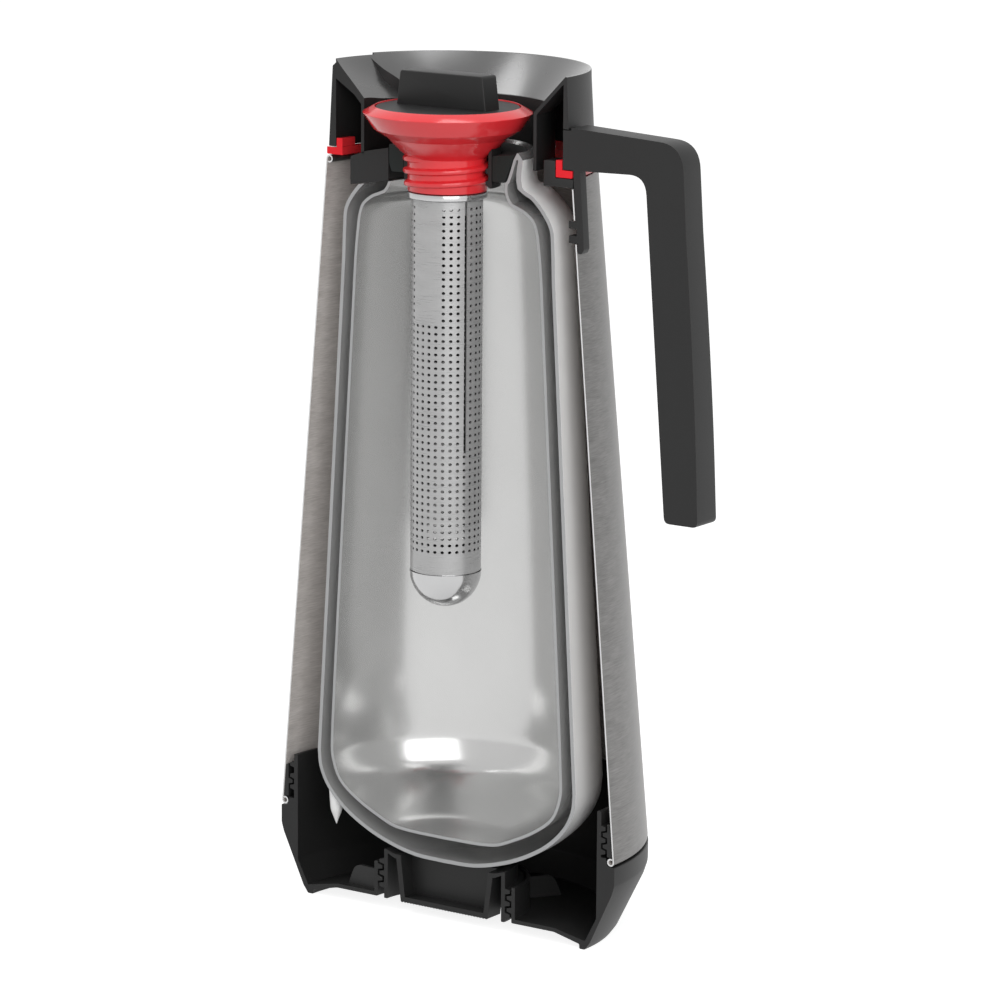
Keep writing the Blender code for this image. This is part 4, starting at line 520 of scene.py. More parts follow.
    def block(self, name: str, low: Spot, high: Spot, turn: float = 0.0) -> bpy.types.Object:
        """Box between two corners, turned about the axis by an angle in degrees."""
        low, high = Vector(low), Vector(high)
        shape = bmesh.new()
        scale = Matrix.Diagonal((*(high - low), 1.0))
        move = Matrix.Translation((low + high) / 2)
        spin = Matrix.Rotation(math.radians(turn), 4, "Z")
        bmesh.ops.create_cube(shape, size=1.0, matrix=spin @ move @ scale)
        return self.piece(name, shape)

    def rod(self, name: str, start: Spot, radius: float, length: float) -> bpy.types.Object:
        """Round bar along +X from a point."""
        shape = bmesh.new()
        middle = Matrix.Translation(Vector(start) + Vector((length / 2, 0.0, 0.0)))
        bmesh.ops.create_cone(
            shape, cap_ends=True, segments=48, radius1=radius, radius2=radius, depth=length,
            matrix=middle @ Matrix.Rotation(math.pi / 2, 4, "Y"),
        )
        return self.piece(name, shape)

    def coil(
        self, name: str, section: Outline, pitch: float, turns: float, start: float,
        first: float = 0.0, steps: int = 96,
    ) -> bpy.types.Object:
        """Screw thread: a section carried round and up, fading in and out at its ends.

        Args:
            name: Name of the object.
            section: Points of radius and rise, from the root over the crest and back.
            pitch: Rise of one turn.
            turns: Number of turns.
            start: Height of the first station.
            first: Angle of the first station in degrees.
            steps: Stations of one turn.

        Returns:
            The new object.
        """
        shape = bmesh.new()
        total = round(turns * steps)
        root = section[0][0]
        rows = []
        for index in range(total + 1):
            angle = math.radians(first) + math.tau * (index + 0.27) / steps
            fade = min(1.0, (index + 1.5) / (steps / 9), (total - index + 1.5) / (steps / 9))
            row = []
            for radius, rise in section:
                reach = root + (radius - root) * fade
                height = start + pitch * index / steps + rise
                row.append(shape.verts.new((reach * math.cos(angle), reach * math.sin(angle), height)))
            rows.append(row)
        for near, far in zip(rows, rows[1:]):
            for place in range(len(section)):
                after = (place + 1) % len(section)
                shape.faces.new((near[place], near[after], far[after], far[place]))
        shape.faces.new(list(reversed(rows[0])))
        shape.faces.new(rows[-1])
        return self.piece(name, shape)

    def combine(self, item: bpy.types.Object, tool: bpy.types.Object, way: Join) -> bpy.types.Object:
        """Adds, takes away or keeps a tool's solid, and removes the tool.

        Args:
            item: Piece that is changed.
            tool: Solid that changes it.
            way: How the two are combined.

        Returns:
            The changed piece.
        """
        step = item.modifiers.new("join", "BOOLEAN")
        step.operation = way.value
        step.object = tool
        step.solver = "EXACT"
        self.settle(item)
        bpy.data.objects.remove(tool)
        self.shade(item)
        LOG.info("%s after %s: %d faces", item.name, way.value, len(item.data.polygons))
        return item

    @staticmethod
    def settle(item: bpy.types.Object) -> None:
        """Applies the modifiers of a piece to its mesh."""
        bpy.context.view_layer.update()
        graph = bpy.context.evaluated_depsgraph_get()
        mesh = bpy.data.meshes.new_from_object(item.evaluated_get(graph))
        item.modifiers.clear()
        item.data = mesh

    def refined(self, node: str, name: str, edge: float = 0.0) -> bpy.types.Object:
        """Fine copy of a node: merged, smoothly shaded, with its edges broken.

        Args:
            node: Node that is copied.
            name: Name of the copy.
            edge: Width of the broken edges in millimetres, or 0.

        Returns:
            The copy.
        """
        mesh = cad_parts[node].data.copy()
        mesh.name = name
        shape = bmesh.new()
        shape.from_mesh(mesh)
        bmesh.ops.remove_doubles(shape, verts=shape.verts, dist=0.000002)
        bmesh.ops.dissolve_limit(
            shape, angle_limit=math.radians(0.4), verts=shape.verts, edges=shape.edges,
        )
        for face in shape.faces:
            face.smooth = True
        shape.to_mesh(mesh)
        shape.free()
        item = bpy.data.objects.new(name, mesh)
        bpy.context.collection.objects.link(item)
        if edge:
            bevel = item.modifiers.new("edges", "BEVEL")
            bevel.width = edge * MM
            bevel.segments = 2
            bevel.limit_method = "ANGLE"
            bevel.angle_limit = math.radians(50.0)
            bevel.use_clamp_overlap = True
            self.settle(item)
        self.shade(item)
        return item

    def dress(self, item: bpy.types.Object, *skins: str, cut: str | None = None) -> None:
        """Gives a piece its finishes, and its faces in the section plane theirs.

        Args:
            item: Piece that is dressed.
            skins: Finishes by the faces' numbers.
            cut: Finish of the section faces, or None for a whole piece.
        """
        marks = [min(face.material_index, len(skins) - 1) for face in item.data.polygons]
        item.data.materials.clear()
        for skin in skins:
            item.data.materials.append(self.shelf[skin])
        if cut:
            item.data.materials.append(self.shelf[cut])
        for face, mark in zip(item.data.polygons, marks):
            front = face.normal.y < -0.99 and abs(face.center.y - self.axis.y) < 0.00003
            face.material_index = len(skins) if cut and front else mark

    @staticmethod
    def seat(item: bpy.types.Object, body: Body, slot: Slot, *nodes: str) -> None:
        """Lets a piece ride on its body in place of the nodes that it stands for."""
        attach(item, body.value)
        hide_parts(*nodes)
        LOG.info("%s: %d faces", item.name, len(item.data.polygons))


def rounded(points: Outline, radius: float, steps: int = 3, closed: bool = True) -> Outline:
    """Rounds the corners of an outline.

    Args:
        points: Corners in order.
        radius: Reach of each rounding, limited by the sides next to it.
        steps: Points of each rounding.
        closed: Whether the last corner joins the first.

    Returns:
        The rounded outline.
    """
    result = []
    count = len(points)
    for index, here in enumerate(points):
        before = points[index - 1]
        after = points[(index + 1) % count]
        here_v, before_v, after_v = Vector(here), Vector(before), Vector(after)
        end = not closed and index in (0, count - 1)
        into = here_v - before_v
        out = after_v - here_v
        if end or here[0] == 0.0 or into.length == 0.0 or out.length == 0.0:
            result.append(here)
            continue
        if into.angle(out) < math.radians(12.0):
            result.append(here)
            continue
        reach = min(radius, into.length * 0.45, out.length * 0.45)
        start = here_v - into.normalized() * reach
        finish = here_v + out.normalized() * reach
        for step in range(steps + 1):
            share = step / steps
            spot = start.lerp(here_v, share).lerp(here_v.lerp(finish, share), share)
            result.append((spot.x, spot.y))
    return result


def curve_through(points: Outline, steps: int = 4) -> Outline:
    """Smooth curve through points, whose ends stay where they are.

    Args:
        points: Points in order.
        steps: Points between each pair.

    Returns:
        The finer curve.
    """
    fine = []
    for index in range(len(points) - 1):
        before = Vector(points[max(index - 1, 0)])
        start = Vector(points[index])
        end = Vector(points[index + 1])
        after = Vector(points[min(index + 2, len(points) - 1)])
        span = (end - start).length
        lead = (end - before).normalized() * span
        tail = (after - start).normalized() * span
        for step in range(steps):
            t = step / steps
            spot = (2 * t**3 - 3 * t**2 + 1) * start + (t**3 - 2 * t**2 + t) * lead
            spot += (3 * t**2 - 2 * t**3) * end + (t**3 - t**2) * tail
            fine.append((max(spot.x, 0.0), spot.y))
    fine.append(points[-1])
    return fine


def smooth_rows(rows: list[list[Spot]], steps: int = 3) -> list[list[Spot]]:
    """Puts rows between rows of points so that the surface bends softly.

    Args:
        rows: Rows of equal length.
        steps: Rows from one given row to the next.

    Returns:
        The finer rows.
    """
    grid = [[Vector(point) for point in row] for row in rows]
    fine = []
    for index in range(len(grid) - 1):
        before = grid[max(index - 1, 0)]
        after = grid[min(index + 2, len(grid) - 1)]
        for step in range(steps):
            t = step / steps
            row = []
            for place, (start, end) in enumerate(zip(grid[index], grid[index + 1])):
                span = (end - start).length
                lead = (end - before[place]).normalized() * span * 0.6
                tail = (after[place] - start).normalized() * span * 0.6
                spot = (2 * t**3 - 3 * t**2 + 1) * start + (t**3 - 2 * t**2 + t) * lead
                spot += (3 * t**2 - 2 * t**3) * end + (t**3 - t**2) * tail
                row.append(tuple(spot))
            fine.append(row)
    fine.append([tuple(point) for point in grid[-1]])
    return fine


@dataclass(frozen=True)
class Helix:
    """Screw ridge that is part of a turned wall's outline."""

    root: float
    crest: float
    pitch: float
    start: float
    turns: float
    coils: int
    root_width: float = 2.0
    crest_width: float = 1.1

    def ridge(self, angle: float, falling: bool) -> Outline:
        """Points of every coil at an angle.

        Args:
            angle: Angle in degrees.
            falling: Whether the outline runs downwards here.

        Returns:
            Four points for each coil.
        """
        points = []
        for coil in range(self.coils):
            turn = coil + angle / 360.0
            fade = min(1.0, max(0.0, (self.turns - turn) * 16.0))
            reach = self.root + (self.crest - self.root) * fade
            height = self.start + self.pitch * turn
            points += [
                (self.root, height - self.root_width / 2),
                (reach, height - self.crest_width / 2),
                (reach, height + self.crest_width / 2),
                (self.root, height + self.root_width / 2),
            ]
        return list(reversed(points)) if falling else points


class Repeater:
    """Geometry Nodes tree that repeats a piece round the jug's axis and up it."""

    LABELS = ("Columns", "Rows", "First Angle", "Step Angle", "Row Pitch", "Axis X", "Axis Y")

    def __init__(self, axis: JugAxis) -> None:
        """Builds the tree.

        Args:
            axis: The jug's axis.
        """
        self.axis = axis
        self.tree = bpy.data.node_groups.new("RepeatRoundAxis", "GeometryNodeTree")
        face = self.tree.interface
        face.new_socket(name="Geometry", in_out="INPUT", socket_type="NodeSocketGeometry")
        for label in self.LABELS:
            kind = "NodeSocketInt" if label in ("Columns", "Rows") else "NodeSocketFloat"
            face.new_socket(name=label, in_out="INPUT", socket_type=kind)
        face.new_socket(name="Finish", in_out="INPUT", socket_type="NodeSocketMaterial")
        face.new_socket(name="Geometry", in_out="OUTPUT", socket_type="NodeSocketGeometry")
        self.wire()

    def math(self, operation: str, first: object, second: object = 0.0) -> object:
        """Adds a Math node and returns its output."""
        item = self.tree.nodes.new("ShaderNodeMath")
        item.operation = operation
        for index, value in enumerate((first, second)):
            if isinstance(value, (int, float)):
                item.inputs[index].default_value = value
            else:
                self.tree.links.new(value, item.inputs[index])
        return item.outputs[0]

    def vector(self, x: object, y: object, z: object) -> object:
        """Adds a Combine XYZ node and returns its output."""
        item = self.tree.nodes.new("ShaderNodeCombineXYZ")
        for index, value in enumerate((x, y, z)):
            if value is not None:
                self.tree.links.new(value, item.inputs[index])
        return item.outputs[0]

    def wire(self) -> None:
        """Wires points, instances, their place, Realize Instances and Set Material."""
        nodes, links = self.tree.nodes, self.tree.links
        given = nodes.new("NodeGroupInput").outputs
        line = nodes.new("GeometryNodeMeshLine")
        line.inputs["Offset"].default_value = (0.0, 0.0, 0.0)
        links.new(self.math("MULTIPLY", given["Columns"], given["Rows"]), line.inputs["Count"])
        index = nodes.new("GeometryNodeInputIndex").outputs[0]
        column = self.math("MODULO", index, given["Columns"])
        row = self.math("FLOOR", self.math("DIVIDE", self.math("ADD", index, 0.5), given["Columns"]))
        rise = self.math("MULTIPLY", row, given["Row Pitch"])
        lift = nodes.new("GeometryNodeSetPosition")
        links.new(line.outputs["Mesh"], lift.inputs["Geometry"])
        links.new(self.vector(None, None, rise), lift.inputs["Offset"])
        swing = self.math("MULTIPLY", column, given["Step Angle"])
        angle = self.math("ADD", swing, given["First Angle"])
        copies = nodes.new("GeometryNodeInstanceOnPoints")
        links.new(lift.outputs["Geometry"], copies.inputs["Points"])
        links.new(given["Geometry"], copies.inputs["Instance"])
        links.new(self.vector(None, None, angle), copies.inputs["Rotation"])
        place = nodes.new("GeometryNodeTransform")
        links.new(copies.outputs["Instances"], place.inputs["Geometry"])
        links.new(self.vector(given["Axis X"], given["Axis Y"], None), place.inputs["Translation"])
        real = nodes.new("GeometryNodeRealizeInstances")
        links.new(place.outputs["Geometry"], real.inputs["Geometry"])
        paint = nodes.new("GeometryNodeSetMaterial")
        links.new(real.outputs["Geometry"], paint.inputs["Geometry"])
        links.new(given["Finish"], paint.inputs["Material"])
        links.new(paint.outputs["Geometry"], nodes.new("NodeGroupOutput").inputs["Geometry"])

    def repeat(
        self, item: bpy.types.Object, columns: int, first: float, step: float,
        finish: bpy.types.Material, rows: int = 1, pitch: float = 0.0,
    ) -> bpy.types.Object:
        """Repeats a piece that is made about the origin, in metres.

        Args:
            item: The single piece, whose mesh is replaced.
            columns: Number of copies round the axis.
            first: Angle of the first in degrees.
            step: Angle between neighbours in degrees.
            finish: Material of all copies.
            rows: Number of rows.
            pitch: Height between rows in millimetres.

        Returns:
            The piece with all its copies.
        """
        values = (columns, rows, math.radians(first), math.radians(step), pitch * MM)
        values += (self.axis.x, self.axis.y, finish)
        modifier = item.modifiers.new("repeat", "NODES")
        modifier.node_group = self.tree
        labels = (*self.LABELS, "Finish")
        for socket in self.tree.interface.items_tree:
            if socket.in_out == "INPUT" and socket.name in labels:
                modifier[socket.identifier] = values[labels.index(socket.name)]
        Bench.settle(item)
        return item


@dataclass
class SubAssembly:
    """Group of pieces that are made and dressed together.

    Every subclass holds its sizes in millimetres about the jug's axis.
    """

    bench: Bench
    repeater: Repeater

    def half_block(self) -> bpy.types.Object:
        """Block over the kept half of the jug."""
        return self.bench.block("kept_half", (-90.0, 0.0, -10.0), (120.0, 90.0, 310.0))


@dataclass
class SteelShell(SubAssembly):
    """Tapered steel sheet with a rolled bead at each end."""

    foot_radius: float = 68.6
    top_radius: float = 49.6
    foot_z: float = 30.3
    top_z: float = 257.0
    sheet: float = 0.5
    bead: float = 1.33
    bead_share: float = 0.84
    notch_half: float = 3.5
    notch_z: float = 253.8
    snap_z: float = 239.9
    snap_radius: float = 3.9

    def arc(self, center: Point, radius: float, steps: int, upward: bool) -> Outline:
        """Arc of a bead from the outside of the jug over its end and inward."""
        sweep = self.bead_share * math.tau * (1 if upward else -1)
        angles = [sweep * index / steps for index in range(steps + 1)]
        return [(center[0] + radius * math.cos(a), center[1] + radius * math.sin(a)) for a in angles]

    def build(self) -> None:
        """Makes the shell, its notch and its hole for the handle's stud."""
        top = (self.top_radius - self.bead, self.top_z - self.bead)
        foot = (self.foot_radius - self.bead, self.foot_z + self.bead)
        outer = list(reversed(self.arc(top, self.bead, 18, True)))
        outer += self.arc(foot, self.bead, 18, False)
        inner = list(reversed(self.arc(foot, self.bead - self.sheet, 12, False)))
        inner += self.arc(top, self.bead - self.sheet, 12, True)
        marks = [0] * (len(outer) - 1) + [1] * (len(inner) + 1)
        item = self.bench.turned("steel_shell", outer + inner, marks=marks)
        self.bench.dress(item, "brushed_steel_outside", "brushed_steel_inside")
        notch = self.bench.block(
            "notch", (44.9, -2.0, self.notch_z), (51.6, self.notch_half, self.top_z + 2.0),
        )
        item = self.bench.combine(item, notch, Join.TAKE)
        hole = self.bench.rod("hole", (45.0, 0.0, self.snap_z), self.snap_radius, 12.0)
        item = self.bench.combine(item, hole, Join.TAKE)
        self.bench.dress(
            item, "brushed_steel_outside", "brushed_steel_inside", cut="sheared_steel_edge",
        )
        self.bench.seat(item, Body.JUG, Slot.STEEL, "steel_body")


@dataclass
class Base(SubAssembly):
    """Threaded base cup with its gussets, the ring that it screws into, and the plug."""

    upstand: Helix = Helix(63.4, 65.1, 4.0, 34.7, 2.75, 3)
    ring: Helix = Helix(65.8, 64.1, 4.0, 36.7, 1.45, 2)
    tube: Helix = Helix(27.7, 25.8, 4.2, 8.3, 2.0, 2)
    plug: Helix = Helix(25.0, 27.0, 4.2, 6.2, 2.75, 3)
    gusset_first: float = 55.0
    gusset_step: float = 60.0
    gusset_wall: float = 1.4

    def cup_outline(self, angle: float) -> Outline:
        """Section of the cup at an angle, down its outside and back up inside."""
        points = rounded([(61.8, 48.5), (63.4, 48.5), (63.4, 47.4)], 0.35, closed=False)[1:]
        points += self.upstand.ridge(angle, True)
        points += [(63.4, 32.8), (65.4, 32.8)]
        for index in range(9):
            turn = math.pi + index * math.pi / 16
            points.append((67.27 + 1.66 * math.cos(turn), 31.63 + 1.66 * math.sin(turn)))
        points += rounded(
            [(67.27, 29.97), (68.8, 29.97), (68.8, 23.6), (67.8, 20.4), (59.4, 2.7), (57.4, 0.0),
             (55.2, 0.0), (55.2, 1.6), (45.0, 4.0), (27.7, 4.0), (27.7, 5.6)], 0.5, closed=False,
        )[1:-1]
        points += self.tube.ridge(angle, False)
        points += rounded(
            [(27.7, 15.75), (27.7, 16.4), (29.1, 16.4), (29.1, 5.4), (45.0, 5.4), (57.4, 3.0),
             (61.8, 11.4), (61.8, 48.5), (63.4, 48.5)], 0.5, closed=False,
        )[:-1]
        return points

    def ring_outline(self, angle: float) -> Outline:
        """Section of the retaining ring at an angle."""
        points = rounded([(65.8, 34.6), (65.8, 33.26), (67.66, 33.26), (66.71, 44.5), (65.8, 44.5),
                          (65.8, 43.6)], 0.25, closed=False)
        return points + self.ring.ridge(angle, True)

    def plug_outline(self, angle: float) -> Outline:
        """Half section of the plug at an angle, with its roof on the axis."""
        points = rounded([(0.0, 20.0), (20.6, 20.0), (25.0, 21.3), (25.0, 19.0)], 0.4, closed=False)
        points += self.plug.ridge(angle, True)
        points += rounded([(25.0, 4.6), (25.0, 3.8), (23.5, 3.8), (23.5, 19.8), (20.6, 18.5),
                           (0.0, 18.5)], 0.3, closed=False)
        return points

    def gusset(self) -> bpy.types.Object:
        """One gusset about the origin, in metres."""
        outline = [(28.4, 4.7), (42.4, 4.7)]
        outline += curve_through([(42.4, 5.2), (40.4, 10.2), (39.1, 12.0), (37.2, 12.8)], 4)
        outline += [(28.4, 12.8)]
        return self.bench.plate("gussets", outline, self.gusset_wall / 2)

    def build(self) -> None:
        """Makes cup, gussets, ring and plug."""
        bench = self.bench
        cup = bench.turned("base_moulding", self.cup_outline)
        ribs = bench.centred(self.gusset())
        black = bench.shelf["satin_black"]
        ribs = self.repeater.repeat(ribs, 3, self.gusset_first, self.gusset_step, black)
        cup = bench.join("base_moulding", cup, ribs)
        bench.dress(cup, "satin_black", cut="cut_black")
        bench.seat(cup, Body.JUG, Slot.BLACK, "base_cup")
        ring = bench.turned("threaded_ring", self.ring_outline)
        bench.dress(ring, "satin_black", cut="cut_black")
        bench.seat(ring, Body.JUG, Slot.BLACK, "retaining_ring")
        plug = bench.turned("glass_support", self.plug_outline, steps=144)
        teeth = [(-18.0 + index * 0.6, 3.8 - 0.3 * (index % 2)) for index in range(61)]
        bar = teeth + [(20.0, 19.2), (-20.0, 19.2)]
        solid = bench.combine(bench.plate("bar", bar, 7.5), self.half_block(), Join.KEEP)
        plug = bench.combine(plug, solid, Join.ADD)
        pocket = [(-16.3, 5.5), (16.3, 5.5), (18.6, 24.0), (-18.6, 24.0)]
        plug = bench.combine(plug, bench.plate("pocket", pocket, 5.8), Join.TAKE)
        plug.name = "glass_support"
        bench.dress(plug, "satin_black", cut="cut_black")
        bench.seat(plug, Body.JUG, Slot.BLACK, "support_plug")


@dataclass
class GlassLiner(SubAssembly):
    """Double-walled silvered glass with its drawn tip."""

    jacket_wall: float = 1.3
    vessel_wall: float = 1.0
    neck_wall: float = 2.0
    weld: float = 2.6
    lip_z: float = 264.1
    tip_place: Point = (-47.5, 3.1)

    @staticmethod
    def outside() -> Outline:
        """Outer surface of the jacket from the lip to the axis."""
        head = [(27.8, 264.1), (29.9, 261.6), (29.8, 252.8), (34.3, 249.9), (38.8, 245.3),
                (41.9, 240.1), (42.6, 234.0), (43.0, 223.0)]
        foot = [(53.2, 52.0), (52.4, 45.7), (49.0, 39.1), (42.1, 32.4), (32.3, 26.7),
                (22.1, 22.9), (11.9, 20.7), (0.0, 20.3)]
        return [head[0]] + curve_through(head[1:], 4) + curve_through(foot, 4)

    @staticmethod
    def inside() -> Outline:
        """Inner surface of the vessel from the lip to the axis."""
        head = [(26.3, 261.5), (23.9, 254.5), (23.1, 253.5), (23.1, 250.0), (25.0, 246.6),
                (27.7, 245.3), (30.8, 244.0), (34.4, 240.7), (36.0, 233.0), (37.0, 223.0)]
        foot = [(45.5, 79.1), (46.6, 57.0), (46.4, 50.4), (43.4, 43.0), (36.6, 37.6),
                (28.2, 33.3), (19.7, 30.2), (0.0, 29.5)]
        return curve_through(head, 4) + curve_through(foot, 4)

    @staticmethod
    def offset(points: Outline, wall: Callable[[float], float], side: int) -> Outline:
        """Moves an open outline square to its run.

        Args:
            points: Outline from the lip to the axis.
            wall: Wall at a height.
            side: 1 towards the vessel, -1 towards the jacket.

        Returns:
            The moved outline.
        """
        moved = []
        for index, (radius, height) in enumerate(points):
            before = Vector(points[max(index - 1, 0)])
            after = Vector(points[min(index + 1, len(points) - 1)])
            run = (after - before).normalized() if radius else Vector((-1.0, 0.0))
            size = wall(height) * side
            spot = Vector((radius + size * run.y, height - size * run.x))
            if min((spot - Vector(point)).length for point in points) > abs(size) * 0.985:
                moved.append((spot.x, spot.y))
        return moved

    def build(self) -> None:
        """Makes the glass with its closed space, its tip and its gap for the saddle."""
        outside, inside = self.outside(), self.inside()
        limit = self.lip_z - self.weld
        jacket = self.offset(outside, lambda z: self.neck_wall if z > 252.0 else self.jacket_wall, 1)
        vessel = self.offset(inside, lambda z: self.vessel_wall, -1)
        jacket = [(r, z) for r, z in jacket if z < limit - 0.1]
        vessel = [(r, z) for r, z in vessel if z < limit - 0.1]
        crown = [(jacket[0][0], limit), (vessel[0][0], limit)]
        lip = rounded([inside[1], inside[0], outside[0], outside[1]], 0.7, closed=False)[1:-1]
        outline = outside[1:] + list(reversed(inside[1:])) + lip
        marks = [0 if place < len(outside) - 1 else 1 for place in range(len(outline))]
        item = self.bench.turned("silvered_glass_liner", outline, 0.0, 360.0, marks=marks)
        skins = ("silvered_jacket", "silvered_vessel", "silvered_space")
        self.bench.dress(item, *skins)
        tip = curve_through([(2.6, 38.3), (2.2, 32.5), (1.95, 30.6), (0.83, 27.6), (0.0, 25.4)], 3)
        drawn = self.bench.turned("drawn_tip", [(0.0, 38.3)] + tip, 0.0, 360.0, 24)
        x, y = self.tip_place
        drawn.data.transform(Matrix.Translation((x * MM, y * MM, 0.0)))
        self.bench.dress(drawn, "silvered_jacket")
        item = self.bench.combine(item, drawn, Join.ADD)
        core = list(reversed(jacket)) + crown + vessel
        space = self.bench.turned("space", core, 0.0, 360.0, marks=[2] * len(core))
        self.bench.dress(space, *skins)
        item = self.bench.combine(item, space, Join.TAKE)
        slope = (247.9 - 250.4) / (39.6 - 24.0)
        notch = [(13.2, 266.1), (41.6, 266.1), (41.6, 250.1 + slope * 17.6), (13.2, 250.1 - slope * 10.8)]
        gap = self.bench.turned("saddle_gap", notch, 148.0, 190.3)
        item = self.bench.combine(item, gap, Join.TAKE)
        item = self.bench.combine(item, self.half_block(), Join.KEEP)
        self.bench.dress(item, *skins, cut="cut_glass_edge")
        self.bench.seat(item, Body.JUG, Slot.GLASS, "glass_liner")


@dataclass
class Neck(SubAssembly):
    """Saddle, rubber wedge and threaded sleeve in the mouth of the glass."""

    sleeve: Helix = Helix(16.3, 15.2, 4.05, 252.8, 2.0, 2, 2.2, 1.2)
    saddle_first: float = 150.0

    def sleeve_outline(self, angle: float) -> Outline:
        """Section of the sleeve at an angle, whose top follows the stopper's cone."""
        points = [(16.3, 262.72), (17.6, 264.12), (17.6, 251.3), (16.3, 251.3)]
        return points + self.sleeve.ridge(angle, False)

    def build(self) -> None:
        """Makes the three pieces."""
        bench = self.bench
        outline = rounded([(24.0, 261.3), (33.2, 259.5), (39.6, 257.2), (39.6, 247.9), (24.0, 250.4)], 0.5)
        saddle = bench.turned("pouring_saddle", outline, self.saddle_first, 180.0)
        bench.dress(saddle, "satin_black", cut="cut_black")
        bench.seat(saddle, Body.JUG, Slot.BLACK, "spout_saddle")
        wide = rounded([(17.9, 262.0), (26.0, 262.9), (25.8, 261.3), (22.6, 253.6), (17.9, 253.6)], 0.4)
        slim = rounded([(17.9, 262.0), (23.7, 262.64), (23.7, 256.2), (22.6, 253.6), (17.9, 253.6)], 0.4)
        right = bench.turned("rubber_wedge", wide, 0.0, 148.0)
        left = bench.turned("rubber_wedge_left", slim, 148.0, 180.0)
        seal = bench.join("rubber_wedge", right, left)
        bench.dress(seal, "matt_rubber", cut="cut_rubber")
        bench.seat(seal, Body.JUG, Slot.RUBBER, "neck_seal")
        sleeve = bench.turned("threaded_throat", self.sleeve_outline, steps=144)
        bench.dress(sleeve, "satin_black", cut="cut_black")
        bench.seat(sleeve, Body.JUG, Slot.BLACK, "threaded_sleeve")


@dataclass
class Top(SubAssembly):
    """Collar with its pouring bowl, and the red ring under it."""

    rim_radius: float = 46.9
    rim_z: float = 290.0
    throat: float = 34.0
    throat_foot: float = 258.6
    # Slope and height above which the bowl's faces get the painted sheen.
    sheen_slope: float = 0.3
    sheen_z: float = 276.0
    bowl_z: float = 277.5
    across: int = 24
    drip_half: float = 22.0
    tab_step: float = 30.0
    tab_share: float = 0.57

    def bowl(self, radius: float) -> float:
        """Height of the bowl's cone at a radius."""
        edge = self.rim_radius - 0.6
        return self.bowl_z + (radius - self.throat) / (edge - self.throat) * (self.rim_z - self.bowl_z)

    def channel(self) -> bpy.types.Object:
        """Solid above the floor of the spout."""
        shares = [2 * index / self.across - 1 for index in range(self.across + 1)]
        rows: list[list[Spot]] = [[], [], [], [], []]
        for share in shares:
            bend = share * share
            y = share * 14.6
            rows[0].append((-math.sqrt(self.rim_radius**2 - y * y), y, self.rim_z + 0.8))
            x, y = 43.0 - bend, share * 15.0
            rows[1].append((-x, y, self.bowl(math.hypot(x, y)) - 0.3 + 0.2 * bend))
            rows[2].append((-38.0, share * 16.3, 281.3))
            rows[3].append((-33.5, share * 18.5, 276.5 + bend))
            y = share * 19.3
            rows[4].append((-math.sqrt(33.0**2 - y * y), y, 275.5))
        high = self.rim_z + 4.0
        rings = []
        for row in smooth_rows(rows):
            rings.append(row + [(x, y, high) for x, y, _ in reversed(row)])
        return self.bench.loft("spout_channel", rings)

    def trough(self) -> bpy.types.Object:
        """Shell under the floor of the spout."""
        rings = []
        for flat, radius, half, low in ((None, 46.3, 16.3, 283.2), (38.0, None, 17.6, 277.9),
                                        (None, 34.6, 20.6, 274.3)):
            bottom, top = [], []
            for index in range(self.across + 1):
                y = half * (2 * index / self.across - 1)
                x = flat if radius is None else math.sqrt(radius * radius - y * y)
                bottom.append((-x, y, low))
                top.append((-x, y, self.bowl(math.hypot(x, y)) - 0.85))
            rings.append(bottom + list(reversed(top)))
        return self.bench.loft("spout_shell", rings)

    def build_collar(self) -> None:
        """Makes the collar with spout, drip groove and window for the handle."""
        bench = self.bench
        outline = rounded([
            (self.rim_radius, self.rim_z), (47.0, 286.6), (48.5, 260.0), (45.6, 260.0),
            (45.6, self.bowl(45.6) - 1.7), (35.2, self.bowl(35.2) - 1.7), (35.2, self.throat_foot),
            (self.throat, self.throat_foot), (self.throat, self.bowl_z), (self.rim_radius - 0.6, self.rim_z),
        ], 0.35)
        item = bench.turned("pouring_collar", outline, 0.0, 360.0)
        item = bench.combine(item, self.trough(), Join.ADD)
        item = bench.combine(item, self.channel(), Join.TAKE)
        groove = [(45.9, 292.0), (49.3, 292.0), (49.3, 286.6), (47.3, 286.6), (45.6, 288.1)]
        drip = bench.turned("drip_groove", groove, 180.0 - self.drip_half, 190.3)
        item = bench.combine(item, drip, Join.TAKE)
        window = bench.block("window", (40.4, -8.3, 258.0), (50.5, 8.3, 273.1))
        item = bench.combine(item, window, Join.TAKE)
        item = bench.combine(item, self.half_block(), Join.KEEP)
        # Upward faces high in the bowl get the lighter black: painted sheen where the light from above
        # falls.
        for face in item.data.polygons:
            upward = face.normal.z > self.sheen_slope and face.center.z > self.sheen_z * MM
            face.material_index = int(upward)
        bench.dress(item, "satin_black", "bowl_painted_sheen_black", cut="cut_black")
        bench.seat(item, Body.JUG, Slot.BLACK, "collar")

    def build_ring(self) -> None:
        """Makes the red ring with its clip tabs."""
        bench = self.bench
        land = rounded([(49.3, 259.7), (49.3, 257.3), (42.9, 257.3)], 0.5, closed=False)
        outline = [(42.9, 260.0), (45.3, 260.0), (45.3, 259.7)] + land
        ring = bench.turned("red_ring", outline)
        half = self.tab_step * self.tab_share / 2
        upper = rounded([(42.9, 260.0), (45.3, 260.0), (45.3, 262.9), (42.9, 262.9)], 0.3)
        first = bench.turned("tab_right", upper, 0.0, half)
        last = bench.turned("tab_left", upper, 180.0 - half, 180.0)
        tab = bench.centred(bench.turned("tabs", upper, -half, half))
        red = bench.shelf["gloss_red"]
        tabs = self.repeater.repeat(tab, 5, self.tab_step, self.tab_step, red)
        item = bench.join("red_trim_ring", ring, first, last, tabs)
        bench.dress(item, "gloss_red", cut="cut_red")
        bench.seat(item, Body.JUG, Slot.RED, "trim_ring")

    def build(self) -> None:
        """Makes collar and ring."""
        self.build_collar()
        self.build_ring()


